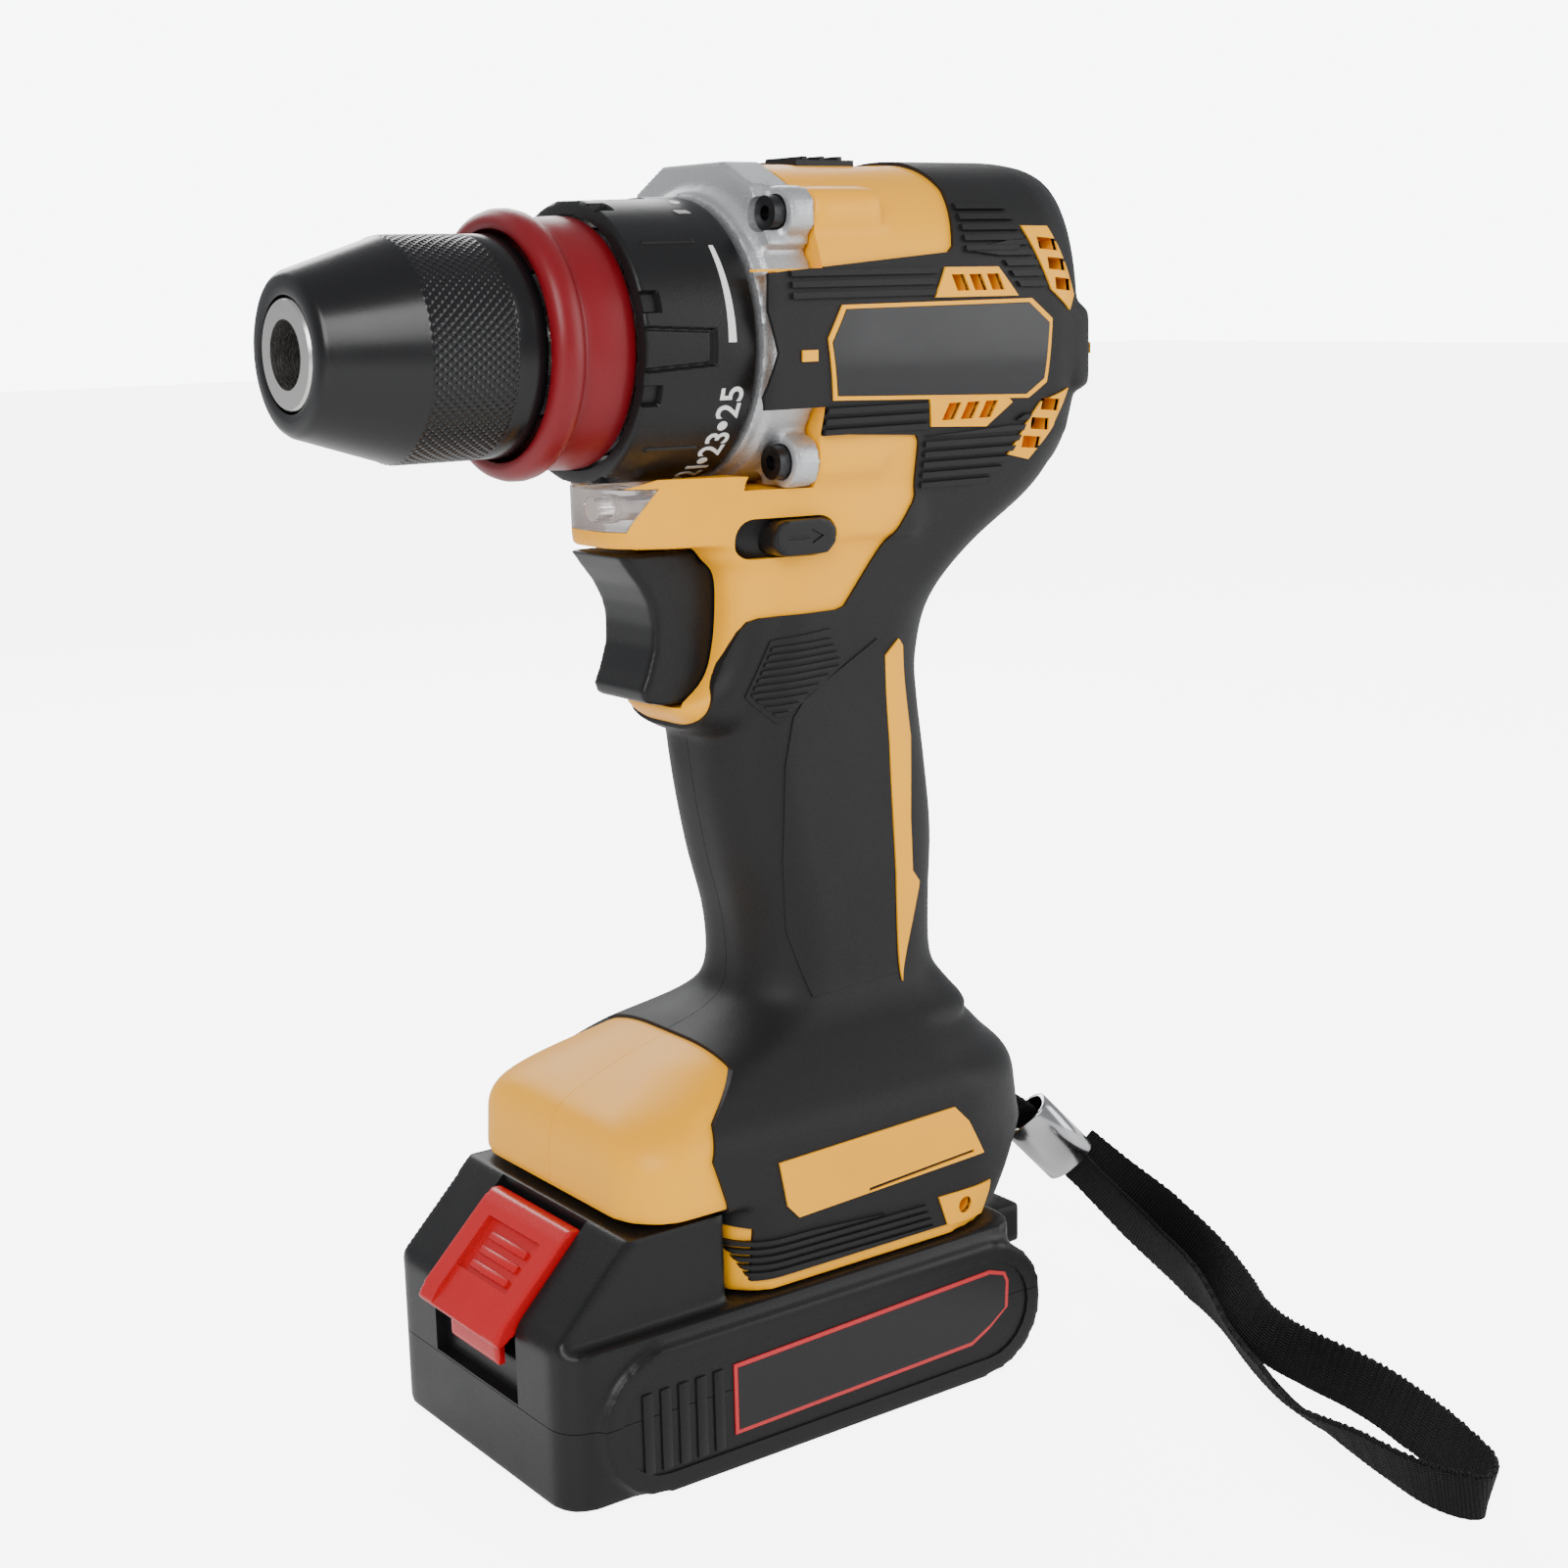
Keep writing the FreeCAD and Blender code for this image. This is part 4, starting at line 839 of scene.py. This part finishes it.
# %% Yellow inlays
strip = [(38.4, 164.4), (34.9, 161), (37.0, 142), (38.9, 112.5), (39.4, 88.5), (45.6, 108.4),
         (45.8, 109.7), (43.5, 112.5), (42.9, 124.3), (43.3, 142.6), (39.8, 162.8)]
foot_inlay = [(-7.2, 62.4), (39.7, 63.9), (43.5, 60.0), (47.8, 51.8), (-2.6, 49.6), (-5.4, 52.6)]
hole_plate = [(34.9, 44.5), (50.6, 44.4), (50.6, 42), (48.7, 36.9), (37.5, 37.5)]
front_mark = [(6.0, 223.6), (9.7, 223.6), (9.7, 225.8), (6.0, 225.8)]
rear_mark = [(88.2, 222.3), (93.4, 222.3), (93.4, 224.6), (88.2, 224.6)]
inlays = patch([strip, foot_inlay, hole_plate, front_mark, rear_mark], 0.2, 1.25)
cut(inlays, [both(plate([(15.8, 50.7), (44.8, 52.6), (44.8, 53.3), (15.8, 51.5)], -60, -34.5)),
             hook_holes])
sides(inlays, "yellow_inlays", yellow)

frames = patch([
    [(39.9, 235.2), (43.4, 241.2), (57.5, 241.1), (62.2, 235.1)],
    [(38.9, 214.9), (40.6, 209.1), (55.6, 208.4), (61.6, 213.2), (59.4, 214.9)],
    [(66.4, 249.4), (73.6, 249.3), (79.4, 234.9), (77.2, 231.8), (71.6, 236.2)],
    [(77.9, 215.4), (69.8, 212.9), (62.6, 202.1), (68.8, 200.7), (74.7, 207.6)]], 0.2, 1.3)
cut(frames, [hollows, vents])
sides(frames, "vent_frames", yellow)

# %% Name plates, left blank
plate_line = [(15.0, 216.6), (65.1, 214.8), (69.6, 217.9), (70.6, 229.3), (65.0, 233.6), (17.0, 233.4),
              (13.3, 227.0)]
centre_x, centre_z = np.mean(plate_line, 0)


def scaled(outline, by):
    """An outline moved out from its middle by so many millimetres at each corner."""
    outline = np.array(outline, float)
    away = outline - (centre_x, centre_z)
    return outline + np.sign(away) * by


plate_frame = patch([scaled(plate_line, 0.9)], 0.2, 1.25)
cut(plate_frame, [both(plate(scaled(plate_line, 0.1), -60, -2))])
sides(plate_frame, "plate_frames", yellow)
plates = patch([plate_line], 0.2, 1.35)
sides(plates, "name_plates", badge_black, "badge_plates", "badge_plates")

# %% Painted shade: a black sheet in the button's opening and black sheets behind the vents
# Painted shade: a black sheet 2 to 6 mm inside the skin round the direction button stands in for the
# shade in its opening.
painted_shade_well = patch([stadium(-3.3, 19.7, button_z, button_r + 0.6)], -6.0, -2.0)
# Painted shade: black sheets 3.4 to 7 mm inside the skin behind the vents stand in for the shade inside
# them.
painted_shade_screens = patch([[(41, 236.0), (60, 236.0), (59, 240.3), (41, 240.3)],
                 [(40.5, 210), (58.5, 210), (58.5, 214), (40.5, 214)],
                 [(69.3, 235.5), (79, 235.5), (77, 248), (68.5, 248)],
                 [(65.5, 202.5), (70, 202.5), (76.5, 213.8), (69.5, 213.8)]], -7.0, -3.4)
cut(painted_shade_well, [hollows])
sides(painted_shade_well, "button_wells", black)
sides(painted_shade_screens, "vent_painted_shade_screens", black)

# %% [markdown]
# ## Chuck, release ring and torque collar
# These turn on the spindle, so each is a profile turned round its axis. The sleeve's knurl is a net
# of small pyramids between two families of crossed grooves, and the collar's finger recesses are
# pressed in where its angle and depth fall inside their outlines.


# %% Turned pieces with relief
def turned_relief(profile, first, last, rows, segments, relief):
    """Turns an outer profile, and lifts its surface by relief(x, angle) millimetres between the x
    values first and last. The angle is 0 at the side of the tool and grows upwards."""
    profile = np.asarray(profile, float)
    outer_end = int(np.argmax(profile[:, 0]))
    outer = profile[:outer_end + 1]
    x = np.linspace(first, last, rows)
    finer = np.column_stack([x, np.interp(x, *outer.T)])
    outer = np.vstack([outer[outer[:, 0] < first], finer, outer[outer[:, 0] > last]])
    full = np.vstack([outer, profile[outer_end + 1:]])
    points, faces = turned(full, segments)
    grid = points.reshape(len(full), segments, 3)
    angle = np.linspace(0, 2 * np.pi, segments, endpoint=False)
    lift = np.where((full[:, 0] >= first)[:, None] & (np.arange(len(full)) < len(outer))[:, None]
                    & (full[:, 0] <= last)[:, None], relief(full[:, :1], angle[None, :]), 0)
    grid[..., 1] -= lift * np.cos(angle)
    grid[..., 2] += lift * np.sin(angle)
    return grid.reshape(-1, 3), faces


def ramp(value, low, high):
    """0 below low, 1 above high, and a smooth step 3t^2 - 2t^3 between."""
    t = np.clip((value - low) / (high - low), 0, 1)
    return t * t * (3 - 2 * t)


KNURL_COUNT, KNURL_PITCH = 78, 2.0  # pyramids round the sleeve, and millimetres along it


def knurl(x, angle):
    """Pyramids 0.34 mm high: 1 minus the larger of two triangle waves along crossed grooves."""
    u, v = angle * KNURL_COUNT / (2 * np.pi), x / KNURL_PITCH
    first, second = (np.abs((u + side * v) % 1 * 2 - 1) for side in (1, -1))
    fade = ramp(x, -69.1, -68.7) * (1 - ramp(x, -51.4, -51.0))
    return 0.34 * (1 - np.maximum(first, second)) * fade


sleeve = [(-88.0, 10.9), (-88.2, 11.4), (-88.2, 14.0), (-87.7, 15.0), (-86.8, 15.6), (-69.3, 21.05),
          (-69.1, 21.2), (-51.0, 21.2), (-50.8, 21.4), (-45.6, 21.45), (-44.9, 21.2),
          (-44.7, 20.7), (-44.7, 17.9), (-69.8, 17.9), (-86.2, 10.9)]
finished(piece("sleeve", [turned_relief(sleeve, -69.1, -51.0, 92, 624, knurl)]),
         "chuck_grip_sleeve", chuck_black, "chuck_sleeve", "chuck_sleeve", limit=55)

ring = [(-45.3, 22.9), (-45.3, 23.9), (-45.0, 24.9), (-44.3, 25.7), (-43.0, 26.15), (-41.4, 26.2),
        (-40.1, 25.9), (-39.3, 25.3), (-38.8, 24.5), (-38.5, 24.05), (-37.9, 23.95), (-36.5, 24.2),
        (-34.0, 24.5), (-30.5, 24.7), (-28.2, 24.55), (-27.2, 24.1), (-27.0, 23.7), (-27.0, 22.6),
        (-33.0, 22.6), (-33.0, 14.3), (-35.5, 14.3), (-35.5, 22.4), (-45.0, 22.4)]
finished(piece("ring", [turned(ring, 240)]), "quick_release_ring", ring_red, "release_ring",
         "release_ring", limit=50)


def recesses(x, angle):
    """Finger recesses: a trapezoid and two notches in each quarter, and a thin rib between quarters."""
    turn = (np.degrees(angle) + 2 + 45) % 90 - 45  # from the middle of its quarter
    away = np.abs(turn)
    slope = 9.0 - (x + 27.2) / 15.8 * 1.9
    trapezoid = (1 - ramp(away, slope - 0.45, slope + 0.45)) * (1 - ramp(x, -11.6, -11.1))
    border = (ramp(away, slope - 1.6, slope - 1.0) + ramp(x, -12.6, -12.2)) * trapezoid
    notch = ramp(away, 14.2, 15.0) * (1 - ramp(away, 22.4, 23.2)) * (1 - ramp(x, -23.6, -23.2))
    rib = ramp(away, 44.0, 44.4) * ramp(x, -23.5, -23.0) * (1 - ramp(x, -11.5, -11.0))
    return -0.75 * trapezoid - 0.25 * np.minimum(border, 1) - 1.3 * notch + 0.35 * rib


collar = [(-27.5, 25.0), (-27.5, 26.9), (-27.3, 27.5), (-26.8, 27.85), (-9.0, 28.15), (-3.0, 28.25),
          (-2.2, 28.1), (-1.9, 27.7), (-1.9, 25.0)]
finished(piece("collar", [turned_relief(collar, -27.2, -10.5, 58, 900, recesses)]),
         "torque_dial", black, "torque_collar", "torque_collar", limit=40)

# %% [markdown]
# ## The dial's markings
# Numbers, dots, a widening bar and a drill sign are printed in white. Each flat mark is laid on the
# collar: its width runs round the collar and its height along the axis.


# %% Printing on the collar
PRINT_RADIUS, PRINT_TOP, PRINT_ROOT = 28.2, 28.30, 27.9  # for its width, its face and its underside


def wrapped(name, mark, turn, x, size):
    """Lays a flat mark on the collar; turn is the angle of its middle in degrees, and size a scale."""
    mesh = mark.data if isinstance(mark.data, bpy.types.Mesh) else \
        bpy.data.meshes.new_from_object(mark)
    flat = np.empty(len(mesh.vertices) * 3)
    mesh.vertices.foreach_get("co", flat)
    flat = flat.reshape(-1, 3)
    middle = (flat[:, :2].min(0) + flat[:, :2].max(0)) / 2
    across, along = ((flat[:, :2] - middle) * size).T
    lift = np.where(flat[:, 2] > flat[:, 2].mean(), PRINT_TOP, PRINT_ROOT)
    angle = math.radians(turn) + across / PRINT_RADIUS
    place = np.column_stack([x - along, -lift * np.cos(angle), AXIS + lift * np.sin(angle)])
    mesh.vertices.foreach_set("co", (place * MM).ravel())
    mesh.update()
    made = bpy.data.objects.new(name, mesh)
    bpy.context.scene.collection.objects.link(made)
    bpy.data.objects.remove(mark)
    return made


def printed_text(words):
    letters = bpy.data.curves.new("letters", "FONT")
    letters.body = words
    letters.extrude = 0.02
    letters.resolution_u = 4
    letters.offset = 0.012
    made = bpy.data.objects.new("letters", letters)
    bpy.context.scene.collection.objects.link(made)
    return made


def flat_mark(outline):
    """A flat closed outline of (across, along) points, thick enough to wrap."""
    outline = np.array(outline, float)
    points, faces = stack([np.column_stack([outline, np.full(len(outline), z)]) for z in (-1, 1)])
    return piece("mark", [(points / MM, faces)])


marks = []
for number, degrees in zip(range(25, 0, -2), range(-25, -400, -21)):
    marks.append(wrapped("number", printed_text(str(number)), degrees, -7.0, 7.4))
    dot = [(math.cos(a), math.sin(a)) for a in np.linspace(0, 2 * np.pi, 20, endpoint=False)]
    marks.append(wrapped("dot", flat_mark(dot), degrees - 10.5, -7.2, 1.1))
steps = np.linspace(0, 1, 24)
points, faces = stack([[(20 * t - 10, side * (0.9 - 0.4 * t), z) for side, z in
                        ((-1, -1), (1, -1), (1, 1), (-1, 1))] for t in steps])
marks.append(wrapped("bar", piece("mark", [(points / MM, faces)]), 20, -7.8, 1.0))
for offset in (-1.9, 0.0, 1.9):
    slash = [(offset - 0.6, -1.7), (offset + 0.6, -1.1), (offset + 0.6, 1.7), (offset - 0.6, 1.1)]
    marks.append(wrapped("slash", flat_mark(slash), 62, -8.6, 1.0))
with bpy.context.temp_override(active_object=marks[0], selected_editable_objects=marks,
                               selected_objects=marks):
    bpy.ops.object.join()
finished(marks[0], "dial_markings", print_white, "torque_collar", limit=30)

# %% [markdown]
# ## The gearbox cover
# A zinc-coloured die casting closes the gearbox. Its flange has a raised crown and four lugs for
# cap screws, and all its edges are round where the metal ran in the die.

# %% The casting
crown = [(-26.5, 246), (-20.5, 257.8), (-10.5, 262.8), (10.5, 262.8), (20.5, 257.8), (26.5, 246)]
cast_forms = [rod(28.9, -0.8, 2.5, segments=120), rod(30.0, 2.0, 12.6, segments=120),
              rod(24.4, -7, 3, segments=96), rod(21.9, -23, -6, segments=96),
              rod(13.8, -36, -22), cross_plate(crown, 2.6, 12.6)]
for y, z in ((LUG_Y, AXIS + LUG_Z), (-LUG_Y, AXIS + LUG_Z), (LUG_Y, AXIS - LUG_Z),
             (-LUG_Y, AXIS - LUG_Z)):
    root = np.sign(y) * 14
    lug = [(root, z - 5.2), (y, z - 5.2), (y, z + 5.2), (root, z + 5.2)]
    cast_forms += [rod(5.3, 6.6, 12.6, y, z), cross_plate(lug, 8.2, 12.6)]
casting = moulded("gearbox_casting", cast_forms, 0.7, 3)
cut(casting, [rod(20.4, -20, 14, segments=96), rod(9.7, -40, -19), at_lugs(3.7, 0, 7.4),
              at_lugs(2.0, 7, 14, 24)])
# A fine bent line is engraved half a millimetre deep in the top of the crown.
for (xa, ya), (xb, yb) in (((4.6, -6.0), (6.2, 2.5)), ((6.2, 2.5), (10.2, 1.6))):
    nx, ny = np.array([yb - ya, xa - xb]) / math.hypot(xb - xa, yb - ya) * 0.28
    line_form = stack([[(xa + nx, ya + ny, z), (xb + nx, yb + ny, z), (xb - nx, yb - ny, z),
                        (xa - nx, ya - ny, z)] for z in (262.3, 266)])
    cut(casting, [line_form])
finished(casting, "gearbox_casting", cast.material, "housing", "gearbox_cover", limit=35)

# %% [markdown]
# ## Trigger and direction button
# The trigger has a hollow for the finger and round edges. The direction button goes right through
# the head and carries a small arrow on each end.

# %% Controls
trigger_line = [(-24.0, 186.3), (-21.6, 183.0), (-18.8, 179.4), (-16.8, 175.5), (-16.0, 171.5),
                (-16.3, 166.5), (-17.8, 161.8), (-19.4, 158.2), (-18.6, 155.8), (-14.5, 154.9),
                (-4.2, 154.9), (-0.6, 158.2), (2.2, 163.5), (2.2, 183.8), (-4.8, 183.8), (-4.8, 186.3)]
trigger = moulded("trigger_form", [plate(trigger_line, -9.7, 9.7)], 0.55, 14)
finished(trigger, "trigger_blade", black, "trigger", "trigger", limit=50)
button = moulded("button_form", [plate(stadium(3.1, 18.9, button_z, 3.7), -25.5, 25.5)], 0.5, 6)
arrow = [(6.5, 188.1), (12.5, 188.1), (12.5, 187.0), (15.5, 188.5), (12.5, 190.0), (12.5, 188.9),
         (6.5, 188.9)]
cut(button, [both(plate(arrow, -30, -25.1))])
finished(button, "direction_button", black, "direction_lever", "direction_lever", limit=45)

# %% [markdown]
# ## The battery
# Two shells of black ABS hold the cells: a floor tray and an upper shell with the shoulder that
# meets the foot, the rails, and long side panels with round ends. The joint between the shells
# runs round at 17.5 mm.

# %% Battery case
quarter_circle = np.radians(np.arange(0, 91, 15.0))


def rounded_box(x0, x1, half_y, z0, z1, radius):
    """A box with round upright edges."""
    points = []
    for cx, cy, start in ((x1 - radius, half_y - radius, 0), (x0 + radius, half_y - radius, 90),
                          (x0 + radius, radius - half_y, 180), (x1 - radius, radius - half_y, 270)):
        angle = quarter_circle + math.radians(start)
        points.append(np.column_stack([cx + radius * np.cos(angle), cy + radius * np.sin(angle)]))
    plan = np.vstack(points)
    return stack([np.column_stack([plan, np.full(len(plan), z)]) for z in (z0, z1)])


panel = stadium(-52.7, 62.7, 15.5, 15.5)
shoulder = [(-59.6, 33.0), (-59.0, 35.6), (-41.9, 53.2), (-19.0, 53.2), (-19.0, 33.0)]
case_forms = [rounded_box(-60, 58, 36.3, 0.3, 34, 7), plate(shoulder, -32.8, 32.8)]
case_forms += both(plate(panel, -38.2, -30))
case_forms += [block(-20, 54, -22.9, 22.9, 33, 41), block(-20, 54, -26.9, 26.9, 40.7, 49.9)]
case_forms += [block(50, 68.2, y - 4.9, y + 4.9, 22.2, 31.8) for y in (-20, 20)]
panel_inner = stadium(-48.5, 58.5, 15.5, 11.2)
latch_half = 17.1
latch_swept = [(-66, 37), (-47, 56), (-42, 56), (-42, 41), (-57.5, 25.5), (-57.5, 18), (-66, 18)]
latch_low = [(-48, 43.6), (-60.6, 31), (-62.6, 29), (-64.4, 26), (-63.2, 24.8), (-59.6, 27),
             (-44.6, 42), (-43, 45.6), (-45.6, 45.6)]
case = moulded("case", case_forms, 0.95, 4)
cut(case, [both(plate(panel_inner, -60, -37.7)), plate(latch_swept, -latch_half, latch_half),
           plate(latch_low, -latch_half, latch_half), rod(3.4, 0, 1),
           [block(22, 56, y - 0.9, y + 0.9, 37, 51) for y in (-9, 0, 9)]])
for name, z0, z1, node in (("battery_tray", -5, 17.42, "battery_case_lower"),
                           ("battery_shell", 17.58, 90, "battery_case_upper")):
    part = copied(case, name)
    cut(part, [block(-90, 90, -60, 60, z0, z1)], "INTERSECT")
    finished(part, name, black, "battery", node)
bpy.data.objects.remove(case)

# %% [markdown]
# ## Panel ribs and label
# The side panels carry five upright grip ribs and a stuck-on label with a red border. The label
# is left without words.

# %% Panel trim
EDGE = 0.4  # width of a bevelled edge, in millimetres
ribs = [plate([(x, 5.2), (x + 2.6, 5.2), (x + 2.6, 22.8), (x, 22.8)], -38.25, -37.2)
        for x in (-43.5, -39.2, -34.9, -30.6, -26.3)]
made = piece("panel_ribs", both(*ribs))
modified(made, "BEVEL", width=EDGE * MM, segments=2)
finished(made, "panel_ribs", black, "battery")


def label_line(grow):
    """The label's outline, with a round rear corner and a slanted lower corner."""
    return [(-21.2 - grow, 7.5 - grow), (42.4 + grow * 0.3, 8.7 - grow), (47.4, 11.2 - grow),
            (52.7 + grow, 15.1), (53 + grow, 21.2), (52.0 + grow * 0.7, 23.4 + grow * 0.7),
            (47.6, 24.9 + grow), (-21.2 - grow, 22.9 + grow)]


for name, grow, y, material in (("label_border", 0.0, 38.05, label_red),
                                ("label_face", -0.9, 38.15, badge_black)):
    made = piece(name, both(plate(label_line(grow), -y, -37.2)))
    finished(made, name, material, "battery")

# %% [markdown]
# ## The latch
# Pressing this red block down frees the battery. Its face follows the 45 degree shoulder and has
# a shallow dish with three bars for the thumb.

# %% Latch
latch_line = [(-48.0, 49.2), (-60.6, 36.6), (-62.6, 34.6), (-64.4, 31.6), (-63.2, 30.4),
              (-59.6, 32.6), (-44.6, 47.6), (-43.0, 51.2), (-45.6, 51.2)]
tongue = plate([(-60.4, 24), (-58.4, 24), (-58.4, 35), (-60.4, 35)], -10, 10)
latch = moulded("latch_form", [plate(latch_line, -16.5, 16.5), tongue], 0.5, 4)
down_face = np.array([-1.0, 0.0, -1.0]) / math.sqrt(2)
out_of_face = np.array([-1.0, 0.0, 1.0]) / math.sqrt(2)
origin = np.array([-48.0, 0.0, 49.2])


def on_face(s0, s1, y0, y1, d0, d1):
    """A block on the sloping face: s down the slope, y across, d out of the face."""
    rings = [[origin + down_face * s + out_of_face * d + (0, y, 0) for s, y in
              ((s0, y0), (s1, y0), (s1, y1), (s0, y1))] for d in (d0, d1)]
    return stack(rings)


cut(latch, [on_face(2.2, 14.2, -10.5, 10.5, -1.6, 3.0), on_face(13.0, 30, -10.5, 10.5, -0.8, 6.0)])
finished(latch, "battery_latch_block", latch_red, "latch", "battery_latch", limit=40)
thumb_bars = piece("latch_bars", [on_face(4.6 + 3.4 * k, 6.4 + 3.4 * k, -7.5, 7.5, -2.0, -0.75)
                                  for k in range(3)])
modified(thumb_bars, "BEVEL", width=EDGE * MM, segments=2)
finished(thumb_bars, "latch_bars", latch_red, "latch")

# %% [markdown]
# ## Inner works
# Gears, motor, cells and boards keep the shape of the frame and take their own finishes.

# %% Finishes of the inner pieces
slot_finish = {"yellow_plastic": yellow, "black_rubber": rubber, "black_plastic": black,
               "red_plastic": ring_red, "cast_aluminium": cast.material, "steel": steel,
               "black_steel": black_steel, "clear_plastic": clear.material, "copper": copper,
               "webbing": weave.material, "cell_wrap": cell_wrap, "circuit_board": board_green,
               "white_plastic": white}
for part in frame["record"]["subparts"]:
    inner = nodes[part["node"]]
    inner.data.materials.clear()
    inner.data.materials.append(slot_finish[part["material_slot"]])
nodes["power_leads"].data.materials[0] = lead_red
print("inner pieces", sum(not node.hide_render for node in nodes.values()))

# %% [markdown]
# ## Clearing up
# The looks should keep to the frame's box within a millimetre. The skin that the pieces were cut from
# is removed here.

# %% Removing the skin
bpy.data.objects.remove(skin)
